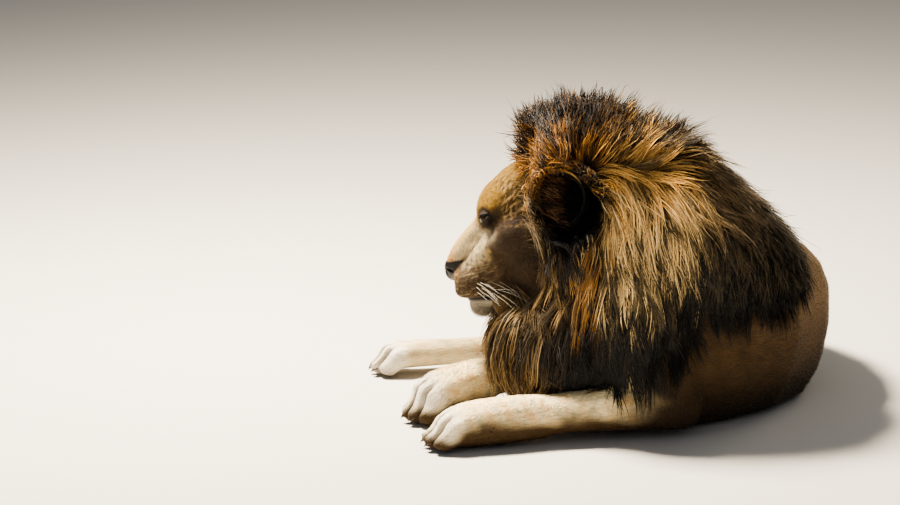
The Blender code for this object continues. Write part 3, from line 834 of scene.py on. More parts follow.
def hair_material():
    """Keratin hair: a soft gloss, and shafts a little lighter and darker in turn."""
    material, tree, shader = new_material("lion hair keratin", 0.6, 0.2, 1.55)
    grained(tree, shader, attribute(tree, "coat", "Color"), object_place(tree), 0.72, 1.25,
            Scale=420.0, Detail=2.0)
    shader.inputs["Sheen Weight"].default_value = 0.12
    shader.inputs["Sheen Roughness"].default_value = 0.4
    return material


def skin_material():
    """Skin under a dense short coat: streaks 1.5 mm wide along the lie give the look
    of flat hair, and bare skin on nose and lips is pebbled and a little moist."""
    material, tree, shader = new_material("lion skin with short hair", 0.72, 0.25, 1.45)
    streaks = grained(tree, shader, attribute(tree, "coat", "Color"),
                      attribute(tree, "streak", "Vector"), 0.70, 1.22,
                      Scale=380.0, Detail=3.0, Roughness=0.6)
    bare = attribute(tree, "bare")
    pebbles = node(tree, "ShaderNodeTexVoronoi", [("Vector", object_place(tree))],
                   Scale=550.0, feature="F1")
    height = node(tree, "ShaderNodeMix", [("Factor", bare), ("A", streaks),
                                          ("B", pebbles.outputs["Distance"])],
                  data_type="FLOAT")
    bumped(tree, shader, height.outputs["Result"], 0.7, 0.0015)
    gloss = node(tree, "ShaderNodeMapRange", [("Value", bare)], To_Min=0.74, To_Max=0.36)
    tree.links.new(gloss.outputs["Result"], shader.inputs["Roughness"])
    return material


def wool_material():
    """The mane's dense inner hair, in shade under the locks."""
    material, tree, shader = new_material("lion mane underwool", 0.85, 0.15)
    grain = grained(tree, shader, attribute(tree, "coat", "Color"), object_place(tree), 0.5, 1.1,
                    Scale=160.0, Detail=4.0)
    bumped(tree, shader, grain, 0.9, 0.006)
    return material


def eye_material():
    """A wet eye: round black pupil, amber iris with a fine grain, dark rim and dark brown beyond.
    """
    material, tree, shader = new_material("lion eye wet cornea", 0.10, 0.35, 1.376)
    ramp = node(tree, "ShaderNodeValToRGB", [("Fac", attribute(tree, "outward"))])
    # The iris's amber is darkened to brown by painted shade under the brow.
    stops = ((0.0, "#050403"), (0.165, "#070504"), (0.20, "#2a1a08"), (0.32, "#5a3a12"),
             (0.44, "#40290c"), (0.52, "#140c06"), (0.60, "#3a2a1e"), (1.0, "#2a201a"))
    for k, (where, code) in enumerate(stops):
        stop = ramp.color_ramp.elements[k] if k < 2 else ramp.color_ramp.elements.new(where)
        stop.position = where
        stop.color = (*linear(code), 1)
    grained(tree, shader, ramp.outputs["Color"], object_place(tree), 0.75, 1.25,
            Scale=900.0, Detail=3.0)
    shader.inputs["Coat Weight"].default_value = 0.2
    shader.inputs["Coat Roughness"].default_value = 0.03
    return material


def horn_material(name, roughness):
    """Plain keratin, denser and glossier than the coat, for whiskers and claws."""
    material, tree, shader = new_material(name, roughness, 0.5, 1.55)
    grained(tree, shader, attribute(tree, "coat", "Color"), object_place(tree), 0.9, 1.1,
            span=(0.0, 1.0), Scale=200.0)
    return material


# ------------------------------------------------------------------ the lie of the coat
def path_of(name, towards, count):
    """Points along a node's middle: its vertices cut in so many lots along its long
    axis, each lot's mean, ordered to run towards a place; and its mean radius."""
    points = points_of(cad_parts[name].data)
    axis = np.linalg.svd(points - points.mean(axis=0), full_matrices=False)[2][0]
    if (towards - points.mean(axis=0)) @ axis < 0:
        axis = -axis
    along = points @ axis
    ends = np.linspace(along.min(), along.max() + 1e-6, count + 1)
    path = np.array([points[(along >= a) & (along < b)].mean(axis=0)
                     for a, b in zip(ends, ends[1:])])
    radius = np.linalg.norm(points - path[np.searchsorted(ends, along, "right") - 1], axis=1)
    return path, radius.mean()


def bones():
    """The body as straight lengths: start, heading, length, radius, and how far the
    start is along its own limb, which the hair follows from first to last."""
    tail = centre("tail_tuft")
    chains = [[path_of("trunk", centre("tail"), 6)], [path_of("tail", tail, 6)],
              [path_of("tail_tuft", tail - (1, 0, 0), 3)],
              [path_of("neck", centre("trunk"), 2)],
              [path_of("head", centre("neck"), 3)]]
    for leg in LEGS:
        lower, foot = centre(leg + "_lower"), centre(leg + "_foot")
        chains.append([path_of(leg + "_upper", lower, 2), path_of(leg + "_lower", foot, 2),
                       path_of(leg + "_foot", 2 * foot - lower, 2)])
    found = []
    for chain in chains:
        path = np.concatenate([points for points, _ in chain])
        radii = np.concatenate([[radius] * len(points) for points, radius in chain])
        lengths = np.linalg.norm(np.diff(path, axis=0), axis=1)
        run = np.concatenate([[0], np.cumsum(lengths)])
        for k, length in enumerate(lengths):
            found.append((path[k], (path[k + 1] - path[k]) / length, length,
                          (radii[k] + radii[k + 1]) / 2, run[k]))
    return found


def lie_of(points, normals, edges):
    """The coat's heading at each vertex, and the streak coordinates: across the lie
    in metres, along it at a tenth."""
    total = np.zeros(len(points))
    lie, streak = np.zeros_like(points), np.zeros_like(points)
    for start, heading, length, radius, run in bones():
        offset = points - start
        along = offset @ heading
        nearest = start + np.outer(np.clip(along, 0, length), heading)
        near = np.exp(-5 * np.linalg.norm(points - nearest, axis=1) / radius)
        total += near
        lie += near[:, None] * heading
        across = offset - along[:, None] * heading
        streak += near[:, None] * (across + 0.1 * (run + along)[:, None] * heading)
    lie, streak = lie / total[:, None], streak / total[:, None]
    x, y, z = face_places(points)
    face = step(x, -0.26, -0.20) * step(z, -0.36, -0.30) * step(y, 0.2, 0.15)
    lie = mix(unit(lie), unit(points - from_head(NOSE_TIP)), face)
    lie = lie + np.array((0, 0, -0.25)) * (1 - face)[:, None]
    return unit(smoothed(flattened(lie, normals), edges, 12)), streak


# ------------------------------------------------------------------ the skin
def coat_depth(points):
    """How far the skin lies under the tips of the coat."""
    x, y, z = face_places(points)
    along, across, high = (points - TOES).T
    face = step(x, -0.24, -0.14) * step(z, -0.36, -0.28) * (y < 0.2)
    limb = step(high, 0.22, 0.14) * step(along, 0.70, 0.55)
    hind = step(across, 0.85, 0.95)
    return 0.009 - 0.0065 * np.maximum(face, 0.8 * np.maximum(limb, hind))


def ear_shell(sign):
    """A rounded cup about the way the ear faces: the outline's radius and depth along
    the profile, turned round, longer at the top and open towards the face."""
    turns = np.linspace(0, 2 * math.pi, 48, endpoint=False)
    profile = np.array(((0.10, -0.60), (0.35, -0.56), (0.62, -0.44), (0.84, -0.22), (0.96, 0.02),
                        (1.00, 0.16), (0.97, 0.21), (0.92, 0.15), (0.84, -0.04), (0.66, -0.26),
                        (0.40, -0.40), (0.12, -0.45)))
    reach, depth = profile[:, :1], profile[:, 1:]
    top = 1 + 0.10 * np.sin(turns) + 0.03 * np.sin(3 * turns + 0.6)
    x = reach * top * np.cos(turns) * EAR_SIZE[0]
    z = reach * top * np.sin(turns) * EAR_SIZE[1]
    fold = 1 - 0.35 * bell(np.cos(turns) - 1, 0.5) * (depth > -0.3)
    points = np.stack([x, z, depth * fold * EAR_SIZE[0]], axis=-1) @ ear_axes(sign)
    points = points + EAR_CENTRE * (1, sign, 1)
    points = np.concatenate([points.reshape(-1, 3), points[[0, -1]].mean(axis=1)])
    faces = closed_grid(reach.size, turns.size, turned=True)
    return mesh_from("ear", from_head(points), faces[:, ::-1] if sign < 0 else faces)


def ellipsoid(middle, axes, radii):
    """A closed form with those rows for axes, and its radii along them."""
    rings, steps, start = 20, 32, 0.12
    polar, turns = np.meshgrid(np.linspace(start, math.pi - start, rings),
                               np.linspace(0, 2 * math.pi, steps, endpoint=False), indexing="ij")
    ball = np.stack([np.sin(polar) * np.cos(turns), np.sin(polar) * np.sin(turns),
                     np.cos(polar)], axis=-1).reshape(-1, 3)
    ball = np.concatenate([ball, [(0, 0, 1.0), (0, 0, -1.0)]]) * radii
    faces = closed_grid(rings, steps)
    return mesh_from("well", ball @ axes + middle,
                     faces[:, ::-1] if np.linalg.det(axes) < 0 else faces)


def face_moves(x, y, z):
    """How far the face's features move the skin outwards, at places in head axes."""
    below = mouth_level(x) - z
    face = step(x, -0.06, -0.03) * (y < 0.12) * (z < 0.02) * (z > -0.30)
    # The mouth: a groove, the upper lip over it and the lower lip set back.
    move = -0.0075 * bell(below - 0.001, 0.0035) * step(x, -0.030, -0.015) * face
    move += 0.0035 * bell(below + 0.014, 0.010) * step(x, -0.01, 0.03) * face
    move -= 0.0030 * band(below, 0.0, 0.012, 0.05, 0.02) * face
    # The groove under the nose, and the nostrils with their side slits.
    move -= 0.0035 * bell(y, 0.0035) * step(z, -0.125, -0.140) * (x > 0.09) * face
    nostril = bell(x - 0.146, 0.013) * bell(y - 0.0135, 0.0075) * bell(z + 0.117, 0.0075)
    slit = bell(z + 0.107 + 0.35 * (0.14 - x), 0.0028) * step(y, 0.014, 0.020)
    slit = slit * band(x, 0.116, 0.126, 0.150, 0.142)
    move -= (0.010 * nostril + 0.0045 * slit) * face
    # The pad's upper edge, the crease beside the nose, and the hollow before the eye.
    move -= 0.0018 * bell(z + 0.089, 0.003) * step(y, 0.034, 0.028) * (x > 0.1)
    move -= 0.0050 * bell(x - 0.050, 0.022) * bell(y - 0.040, 0.014) * bell(z + 0.052, 0.020)
    # A furrow from the inner corner of the eye along the muzzle, and folds by the mouth.
    furrow = bell(z + 0.070 + 0.9 * (x - 0.060), 0.006)
    move -= 0.0025 * furrow * band(x, 0.02, 0.04, 0.10, 0.08)
    fold = bell(x + 0.012 + 0.5 * (z + 0.15), 0.008)
    return move - 0.0040 * fold * step(z, -0.10, -0.12) * (z > -0.21) * (y < 0.1)


def sculpt(points, normals):
    """The skin's vertices with the features of face and feet worked in."""
    head = to_head(points)
    x, y, z = face_places(points)
    head = head + normals @ HEAD.T * face_moves(x, y, z)[:, None]
    # The lids: a shell over the eyeball, thicker at its edge, open between two arcs.
    distance, facing, a, b = eye_fields(head)
    ball = mirror_of(head) * (0, made["eye_half"], 0)
    gap = eye_gap(a, b)
    shell = EYE_RADIUS + LID_OVER + LID_EDGE * bell(gap + 0.004, 0.003)
    level = np.where(gap > 0, EYE_RADIUS - EYE_WELL, shell)
    hold = step(np.hypot(a, b), 0.034, 0.021) * step(facing, 0.05, 0.35) * (distance < 0.05)
    towards = (head - ball) / distance[:, None]
    head = head + towards * ((level - distance) * hold)[:, None]
    # No lid comes nearer to the ball than this.
    short = EYE_RADIUS + LID_LEAST - np.linalg.norm(head - ball, axis=1)
    head = head + towards * (np.maximum(short, 0) * (gap < 0) * (facing > -0.6))[:, None]
    points = from_head(head)
    gap, _ = toe_fields(points)
    return points - normals * (TOE_GROOVE * gap)[:, None]


def skin_density(points, covered):
    """Tufts to the square metre, length, width and lift at each vertex."""
    x, y, z = face_places(points)
    along, across, high = (points - TOES).T
    face = step(x, -0.24, -0.16) * step(z, -0.36, -0.30) * (y < 0.2)
    limb = step(high, 0.22, 0.15) * step(along, 0.68, 0.54)
    hind = step(across, 0.60, 0.70) * step(high, 0.24, 0.15) * step(along, 0.78, 0.64)
    limb = np.maximum(limb, hind)
    _, toes = toe_fields(points)
    length = blend(blend(0.019, 0.0095, limb), 0.0075, toes) * (1 - face)
    length = length + face * (0.0065 + 0.016 * step(x, -0.03, -0.17))
    length = length * (1 - 0.40 * step(x, 0.03, 0.07) * face)
    chin = step(z, -0.20, -0.215) * step(x, 0.03, 0.06) * face
    width = 0.0009 - 0.00055 * np.maximum(face, 0.5 * limb)
    density = 19500 + 94000 * face + 8000 * limb
    bare = np.maximum(nose_pad(x, y, z), eye_rim(to_head(points)))
    bare = np.maximum(bare, lip_line(x, y, z))
    density = density * (bare < 0.3) * (high >= 0.006) * covered
    return density, length + 0.010 * chin, width, 0.10 + 0.10 * chin + 0.06 * face


# ------------------------------------------------------------------ the mane
def tree_of(*objects):
    """A search tree over the triangles of those meshes."""
    points, triangles, count = [], [], 0
    for obj in objects:
        corners, _ = triangles_of(obj.data)
        points.append(points_of(obj.data))
        triangles.append(corners + count)
        count += len(points[-1])
    return BVHTree.FromPolygons(np.concatenate(points).tolist(),
                                np.concatenate(triangles).tolist())


def nearest_on(tree, points):
    """The nearest places of the surface, its normals there, and heights over it."""
    found = [tree.find_nearest(Vector(p)) for p in points]
    place = np.array([f[0] for f in found])
    normal = np.array([f[1] for f in found])
    height = np.array([f[3] for f in found])
    return place, normal, height * np.sign(((points - place) * normal).sum(axis=1))


def crest_share(points):
    """1 where the mane stands up: over the skull, between and before the ears."""
    u, w, _ = mane_places(points)
    middle = step(face_places(points)[1], 0.17, 0.09)
    return np.maximum(step(w, 0.05, 0.11), middle * step(w, -0.04, 0.02)) * step(u, 0.30, 0.16)


def finder_of(points):
    """A search tree over points."""
    finder = KDTree(len(points))
    for k, point in enumerate(points):
        finder.insert(point, k)
    finder.balance()
    return finder


def from_mane(points):
    """Distance of each point from the nearest wool that shows."""
    return np.array([made["wool_shown"].find(point)[2] for point in points])


def mane_flow(points):
    """The heading of the mane's locks: away from the whorl behind each ear, and
    down, the more so the lower they grow; over the skull up, fanned fore and aft."""
    u, w, away = mane_places(points)
    down = blend(0.15, 0.85, step(w, 0.06, -0.16))
    down = blend(down, 0.42, step(u, 0.16, 0.30) * step(w, -0.28, -0.12))
    flow = mix(unit(away), np.array((0, 0, -1.0)), down)
    fan = np.array((0, 0, 1.0)) + BACKWARD * (1.1 * step(u, -0.16, 0.22) - 0.25)[:, None]
    flow = unit(mix(unit(flow), unit(fan), crest_share(points)))
    head = to_head(points)
    reach, a, b = ear_places(head)
    mirror = mirror_of(head)
    from_ear = unit(head - EAR_CENTRE * mirror) + unit(EAR_FACING) * mirror * 0.25
    flow = unit(mix(flow, unit(from_ear @ HEAD), step(reach, 1.9, 1.25)))
    before = step(reach, 2.4, 1.6) * step(a + 0.3 * b, 0.0, -0.02)
    return unit(mix(flow, unit(np.array((-0.30, 0.10, -0.95)) * mirror @ HEAD), 0.85 * before))


def mane_cut(points):
    """Length of the locks, how high they ride over the form, and how far they stand
    out at the root, by place."""
    u, w, away = mane_places(points)
    crest, hollow = crest_share(points), ear_shade(u, w, 0.0)
    length = blend(0.150, 0.078, crest)
    length = blend(length, 0.038, step(u, -0.075, -0.11) * step(w, -0.19, -0.14))
    length = blend(length, 0.095, step(u, 0.22, 0.34) * (1 - crest))
    length = blend(length, 0.085, hollow)
    whorl = bell(np.linalg.norm(away, axis=1), 0.055)
    stand = blend(0.22, 0.62, np.maximum(crest, whorl))
    height = blend(blend(0.022, 0.012, hollow), 0.20, crest)
    return length, height, stand


GUIDE_STEPS = 8


def guides(roots, normals, tree, seed):
    """Each clump's middle line: steps along the flow, kept at a height over the form
    that rises from the root and settles."""
    rng = np.random.default_rng(seed)
    length, top, stand = mane_cut(roots)
    count = len(roots)
    length = length * rng.uniform(0.75, 1.2, count)
    top = top * rng.uniform(0.45, 1.5, count)
    turn = rng.normal(0, 0.20, (count, 3))
    up = crest_share(roots)
    points, normal, lines = roots.copy(), normals.copy(), [roots.copy()]
    stride = (length / GUIDE_STEPS)[:, None]
    for k in range(1, GUIDE_STEPS + 1):
        share = k / GUIDE_STEPS
        heading = unit(mane_flow(points) + turn)
        level = flattened(heading, normal)
        out = stand * (1 - 0.8 * share * (1 - up))
        ahead = unit(level + normal * (out / np.sqrt(1 - out ** 2))[:, None])
        ahead = unit(mix(ahead, unit(heading + 0.5 * normals), 0.75 * up))
        points = points + ahead * stride
        place, normal, height = nearest_on(tree, points)
        wanted = top * (1 - (1 - share) ** 2)
        keep = np.clip(height, 0.4 * wanted * (1 - up), 1.1 * wanted + 0.002)
        points = place + unit(mix(unit(points - place) * np.sign(height)[:, None],
                                  normal, np.full(count, 0.5))) * keep[:, None]
        lines.append(points.copy())
    return np.stack(lines, axis=1)


LONG_HAIR = np.linspace(0, 1, 5)[None, :, None]  # places along a long hair


def long_hair(roots, normals, heading, length, lift, settle, droop):
    """Spines along the heading that lift from the skin, settle back and droop."""
    at = LONG_HAIR
    rise = lift * at - settle * at ** 2
    spine = roots[:, None] + length[:, None, None] * (
        heading[:, None] * at + normals[:, None] * rise - np.array((0, 0, droop)) * at ** 2)
    spine[:, 0] -= normals * 0.001
    return spine


def thickness(rings, count, rng):
    """Half the width of so many hairs at each ring, some finer and some coarser."""
    return np.array(rings) * rng.uniform(0.7, 1.3, (count, 1))


def along_line(lines, at):
    """Places on each row's own line at shares of its length, one column per share."""
    spot = at * (lines.shape[1] - 1)
    low = np.clip(spot.astype(int), 0, lines.shape[1] - 2)
    row = np.arange(len(lines))[:, None]
    return mix(lines[row, low], lines[row, low + 1], spot - low)


def lock_strands(roots, normals, lines, owner, frizz, seed):
    """The strands of every clump: each starts at its own root and runs by its
    clump's line, drawing in to it towards the tip, and astray by its frizz."""
    rng = np.random.default_rng(seed)
    count = len(roots)
    at = LONG_HAIR[..., 0] * rng.uniform(0.62, 1.06, count)[:, None]
    own = lines[owner]
    path = along_line(own, at.clip(0, 1))
    offset = roots - own[:, 0]
    tight = rng.uniform(0.25, 0.85, len(lines))[owner][:, None]
    draw = (tight * step(at, 0.0, 0.9))[..., None]
    loose = np.where(rng.uniform(0, 1, count) < 0.14, 0.010, 0.0045)[:, None, None]
    loose = loose * (1 + 0.9 * frizz[:, None, None])
    spread = rng.normal(0, 1, (count, 1, 3)) * LONG_HAIR ** 0.8 * loose
    curl = rng.uniform(0, 2 * math.pi, len(lines))[owner][:, None]
    sway = np.sin(at * rng.uniform(3, 7, len(lines))[owner][:, None] + curl)
    side = unit(np.cross(own[:, -1] - own[:, 0], normals))[:, None, :]
    spine = path + offset[:, None, :] * (1 - draw) + spread
    spine += side * (sway * 0.006 * at)[..., None]
    spine[:, 0] = roots - normals * 0.004
    return spine


def strand_tints(roots, spine, lines, owner, rng):
    """The mane's markings on its strands, with whole clumps in shade or light, places
    a little astray, and pale strands among the dark ones of the back and the cap."""
    count = len(roots)
    behind, high, _ = mane_places(roots)
    _, drop, _ = mane_places(lines[:, 0])
    # Painted shade: a share of whole clumps, more of them lower down, darkened to 0.16.
    shaded = rng.uniform(0, 1, len(lines)) < blend(0.20, 0.62, step(drop, -0.06, -0.22))
    tone = np.where(shaded, 0.16, rng.normal(1.12, 0.18, len(lines)).clip(0.7, 1.6))[owner]
    tone = (tone * rng.normal(1, 0.30, count).clip(0.25, 1.7))[:, None, None]
    astray = rng.normal(0, 0.010, (count, 1, 3))
    astray = astray + rng.normal(0, (0.016, 0.016, 0.034), (len(lines), 3))[owner][:, None]
    tint = mane_colour((spine + astray).reshape(-1, 3)).reshape(spine.shape)
    # Painted shade deep in the mane: darker at the root, lighter towards the tip.
    tint = tint * tone * (0.50 + 0.75 * LONG_HAIR ** 0.8)
    grey = step(behind, 0.22, 0.32) * (rng.uniform(0, 1, count) < 0.45)
    grizzled = step(behind, 0.00, 0.09) * (rng.uniform(0, 1, count) < 0.28)
    grey = np.maximum(grey * step(high, -0.34, -0.20), grizzled * step(high, -0.05, 0.0))
    tint = mix(tint, TINTS["frost"], 0.8 * grey[:, None] * LONG_HAIR[..., 0])
    return tint * (1 - 0.50 * crest_share(roots)[:, None, None] * LONG_HAIR ** 2)


def lots(chosen, most):
    """The chosen rows in lots of at most so many."""
    return np.array_split(chosen, max(1, math.ceil(len(chosen) / most)))


# ------------------------------------------------------------------ property groups
class LionSettings(bpy.types.PropertyGroup):
    """What the operators read."""

    skin_voxel: bpy.props.FloatProperty(
        name="Skin voxel", description="Cell of the remesh that joins the flesh",
        default=0.008, min=0.004, subtype="DISTANCE", unit="LENGTH")
    wool_depth: bpy.props.FloatProperty(
        name="Wool depth", description="How far the mane's inner wool lies under the tips",
        default=0.020, min=0.0, subtype="DISTANCE", unit="LENGTH")
    clumps: bpy.props.IntProperty(
        name="Clumps", description="Clumps of the mane to the square metre",
        default=3000, min=1)
    strands: bpy.props.IntProperty(
        name="Strands", description="Strands of the mane to the square metre",
        default=38000, min=1)
    tufts: bpy.props.FloatProperty(
        name="Coat share", description="Share of the short coat's full number of tufts",
        default=1.0, min=0.0, subtype="FACTOR")


def settings():
    return bpy.context.scene.lion


# ------------------------------------------------------------------ operators
class LION_OT_materials(bpy.types.Operator):
    """Makes the materials, and finds half the distance between the eyes"""

    bl_idname = "lion.materials"
    bl_label = "Materials"

    def execute(self, context):
        made["hair"] = hair_material()
        made["skin"] = skin_material()
        made["wool"] = wool_material()
        made["eye"] = eye_material()
        made["bristle"] = horn_material("lion whisker bristle", 0.35)
        made["claw"] = horn_material("lion claw horn", 0.30)
        made["eye_half"] = np.linalg.norm(centre("eye_left") - centre("eye_right")) / 2
        return {"FINISHED"}


class LION_OT_skin(bpy.types.Operator):
    """Makes the skin: the flesh solids as one form, drawn in by the depth of the coat,
    with ears, lids, nostrils, mouth and toes"""

    bl_idname = "lion.skin"
    bl_label = "Skin"

    def execute(self, context):
        skin = one_form("skin", FLESH + ["eye_left", "eye_right"], FLESH_GROWTH,
                        settings().skin_voxel)
        points = smoothed(points_of(skin.data), edges_of(skin.data), 4)
        place_points(skin.data, points)
        place_points(skin.data, points - normals_of(skin.data)
                     * (FLESH_GROWTH + coat_depth(points))[:, None])
        for sign in (1, -1):
            combine(skin, ear_shell(sign), "UNION")
            axes = ear_axes(sign)
            inside = from_head(EAR_CENTRE * (1, sign, 1) + axes[2] * 0.004)
            combine(skin, ellipsoid(inside, axes @ HEAD, EAR_WELL), "DIFFERENCE")
        skin.data.shade_smooth()
        unwrap(skin)
        # Finer faces: first for the whole head and the toes, then for the face again.
        for low, limit in ((-0.26, 0.13), (-0.085, 0.12)):
            x, y, z = face_places(points_of(skin.data))
            _, toes = toe_fields(points_of(skin.data))
            front = (x > low) & (y < limit) & (z > -0.29)
            refine(skin, front | ((toes > 0.05) & (low < -0.2)))
            points = points_of(skin.data)
            x, y, z = face_places(points)
            free = (x > low - 0.02) & (y < limit + 0.02) & (z > -0.31) & (x + y > -0.10)
            place_points(skin.data, smoothed(points, edges_of(skin.data), 3, held=1.0 - free))
        points = sculpt(points_of(skin.data), normals_of(skin.data))
        place_points(skin.data, points)
        made["lie"], streak = lie_of(points, normals_of(skin.data), edges_of(skin.data))
        put(skin.data, "streak", "FLOAT_VECTOR", "vector", streak)
        put_colour(skin.data, coat_colour(points))
        x, y, z = face_places(points)
        put(skin.data, "bare", "FLOAT", "value", np.maximum(nose_pad(x, y, z), lip_line(x, y, z)))
        skin.data.materials.clear()
        skin.data.materials.append(made["skin"])
        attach(skin, "root")
        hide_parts(*FLESH, "ear_left", "ear_right")
        made["skin_object"] = skin
        return {"FINISHED"}


class LION_OT_wool(bpy.types.Operator):
    """Makes the mane's inner wool, under the tips of the locks"""

    bl_idname = "lion.wool"
    bl_label = "Mane wool"

    def execute(self, context):
        around = ["neck", "trunk", "head", "fore_left_upper", "fore_right_upper"]
        wool = one_form("mane_wool", MANE + around, WOOL_GROWTH, WOOL_VOXEL)
        edges = edges_of(wool.data)
        points = smoothed(points_of(wool.data), edges, 6)
        place_points(wool.data, points)
        _, w, _ = mane_places(points)
        middle = step(face_places(points)[1], 0.16, 0.08)
        depth = WOOL_GROWTH + settings().wool_depth + 0.032 * step(w, 0.06, 0.14) * middle
        for _ in range(5):
            points = smoothed(points - normals_of(wool.data) * (depth / 5)[:, None], edges, 1)
            place_points(wool.data, points)
        unwrap(wool)
        # Painted shade: the wool under the locks at 0.35 of the mane's colour.
        put_colour(wool.data, mane_colour(points) * 0.35)
        wool.data.materials.append(made["wool"])
        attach(wool, "root")
        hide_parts(*MANE)
        made["wool_object"] = wool
        _, _, height = nearest_on(tree_of(made["skin_object"]), points)
        made["wool_shown"] = finder_of(points[height > 0.003])
        return {"FINISHED"}


class LION_OT_mane(bpy.types.Operator):
    """Makes the mane's locks: clumps that flow from the whorl behind each ear"""

    bl_idname = "lion.mane"
    bl_label = "Mane"

    def execute(self, context):
        wool = Surface(made["wool_object"])
        both = tree_of(made["skin_object"], made["wool_object"])
        _, _, height = nearest_on(tree_of(made["skin_object"]), wool.points)
        _, w, away = mane_places(wool.points)
        x, _, z = to_head(wool.points).T
        reach, _, _ = ear_places(to_head(wool.points))
        # Far from the skin the sign of the height can be wrong, so depth counts too.
        far = step(height, -0.024, -0.032) * band(x, -0.45, -0.40, -0.13, -0.16)
        shown = np.maximum(step(height, -0.002, 0.006), far * step(z, 0.0, 0.03))
        shown = shown * step(reach, 0.95, 1.05)
        shown = shown * (1 - step(x, -0.02, 0.0) * step(z, -0.25, -0.22))
        thick = 1 + 0.35 * step(w, 0.08, 0.14) + 0.5 * step(reach, 1.9, 1.3)
        thick = thick + 0.9 * bell(np.linalg.norm(away, axis=1), 0.06)

        roots, normals, _, _ = wool.scatter(shown * settings().clumps, seed=31)
        lines = guides(roots, normals, both, seed=32)
        finder = finder_of(roots)
        roots, normals, places, _ = wool.scatter(
            shown * thick * settings().strands * hair_share(), seed=33)
        owner = np.array([finder.find(root)[1] for root in roots])
        behind, high, _ = mane_places(roots)
        frizz = np.maximum(step(behind, 0.24, 0.34), crest_share(roots))
        spine = lock_strands(roots, normals, lines, owner, frizz, seed=34)
        rng = np.random.default_rng(35)
        tint = strand_tints(roots, spine, lines, owner, rng)
        width = thickness((0.0012, 0.0014, 0.0012, 0.0008), len(roots), rng)

        crest, front, back = high > 0.06, behind < -0.02, behind >= 0.20
        side, left = ~(crest | front | back), to_head(roots)[:, 1] > 0
        for name, chosen, slot in (
            ("crest", crest, "mane_gold"),
            ("bib", ~crest & front, "mane_dark"),
            ("left", side & left, "mane_gold"),
            ("right", side & ~left, "mane_gold"),
            ("back", ~crest & back, "mane_dark"),
        ):
            for j, lot in enumerate(lots(np.flatnonzero(chosen), LONG_LOT)):
                piece = spikes(f"mane_locks_{name}_{j}", spine[lot], width[lot],
                               normals[lot], tint[lot], places[lot])
        print("mane strands", len(roots), "clumps", len(lines))
        return {"FINISHED"}


class LION_OT_fringe(bpy.types.Operator):
    """Makes the hair where face and throat pass into the mane"""

    bl_idname = "lion.fringe"
    bl_label = "Fringe"

    def execute(self, context):
        skin = Surface(made["skin_object"])
        _, _, height = nearest_on(tree_of(made["wool_object"]), skin.points)
        away = from_mane(skin.points)
        head = to_head(skin.points)
        x, y, z = face_places(skin.points)
        reach, _, _ = ear_places(head)
        edge = np.maximum(step(away, 0.042, 0.010), under_mane(head)) * step(height, -0.006, 0.0)
        edge = edge * step(x, 0.0, -0.04) * (x > -0.30) * (y < 0.22) * (z > -0.36) * (reach > 1.15)
        roots, normals, places, (lie, away) = skin.scatter(
            edge * FRINGE_HAIRS * hair_share(), seed=61, fields=(made["lie"], away))
        rng = np.random.default_rng(62)
        skull = under_mane(to_head(roots))
        near = np.maximum(step(away[:, 0], 0.045, 0.012), skull)
        by_ear = step(ear_places(to_head(roots))[0], 2.4, 1.6)
        heading = unit(mix(unit(lie), mane_flow(roots),
                           np.maximum(0.55 * near + 0.40 * skull, 0.9 * by_ear)))
        heading = flattened(unit(heading + rng.normal(0, 0.14, heading.shape)), normals)
        length = (0.022 + 0.040 * near + 0.030 * skull) * rng.uniform(0.6, 1.2, len(roots))
        spine = long_hair(roots, normals, heading, length,
                          (0.42 - 0.22 * by_ear)[:, None, None], 0.20, 0.22)
        width = thickness((0.0009, 0.0011, 0.0009, 0.0006), len(roots), rng)
        tint = mix(coat_colour(roots)[:, None], mane_colour(spine[:, -1])[:, None],
                   near[:, None] * (0.35 + 0.65 * LONG_HAIR[..., 0]))
        # Painted shade on three hairs in ten.
        shaded = rng.uniform(0, 1, len(roots)) < 0.3
        tone = np.where(shaded, 0.35, rng.normal(1.1, 0.2, len(roots)))
        tint = tint * tone.clip(0.2, 1.7)[:, None, None]
        for j, lot in enumerate(lots(np.arange(len(roots)), LONG_LOT)):
            piece = spikes(f"mane_fringe_{j}", spine[lot], width[lot], normals[lot], tint[lot],
                           places[lot])
        self.ears(skin)
        print("fringe", len(roots))
        return {"FINISHED"}

    def ears(self, skin):
        """Long hair from the front and lower rim of each ear, lying back over it."""
        rng = np.random.default_rng(63)
        reach, a, b = ear_places(to_head(skin.points))
        rim = band(reach, 0.80, 0.90, 1.30, 1.15) * step(a, -0.018, -0.032)
        rim = rim * step(b, -0.062, -0.045)
        roots, normals, places, _ = skin.scatter(rim * EAR_HAIRS * hair_share(), seed=64)
        inward = np.array((-0.9, 0.34, 0.0)) * mirror_of(to_head(roots))
        heading = unit(inward @ HEAD + rng.normal(0, 0.22, roots.shape))
        length = 0.038 * rng.uniform(0.4, 1.4, len(roots))
        spine = long_hair(roots, normals, heading, length, 0.0, 0.0, 0.25)
        width = thickness((0.0008, 0.0010, 0.0008, 0.0005), len(roots), rng)
        kind = rng.uniform(0, 1, len(roots))[:, None]
        tint = np.where(kind < 0.55, TINTS["dark"], np.where(
            kind < 0.85, TINTS["inner_ear"], TINTS["bib"]))
        tint = tint[:, None] * (0.6 + 0.7 * LONG_HAIR)
        piece = spikes("coat_ears", spine, width, normals, tint, places)


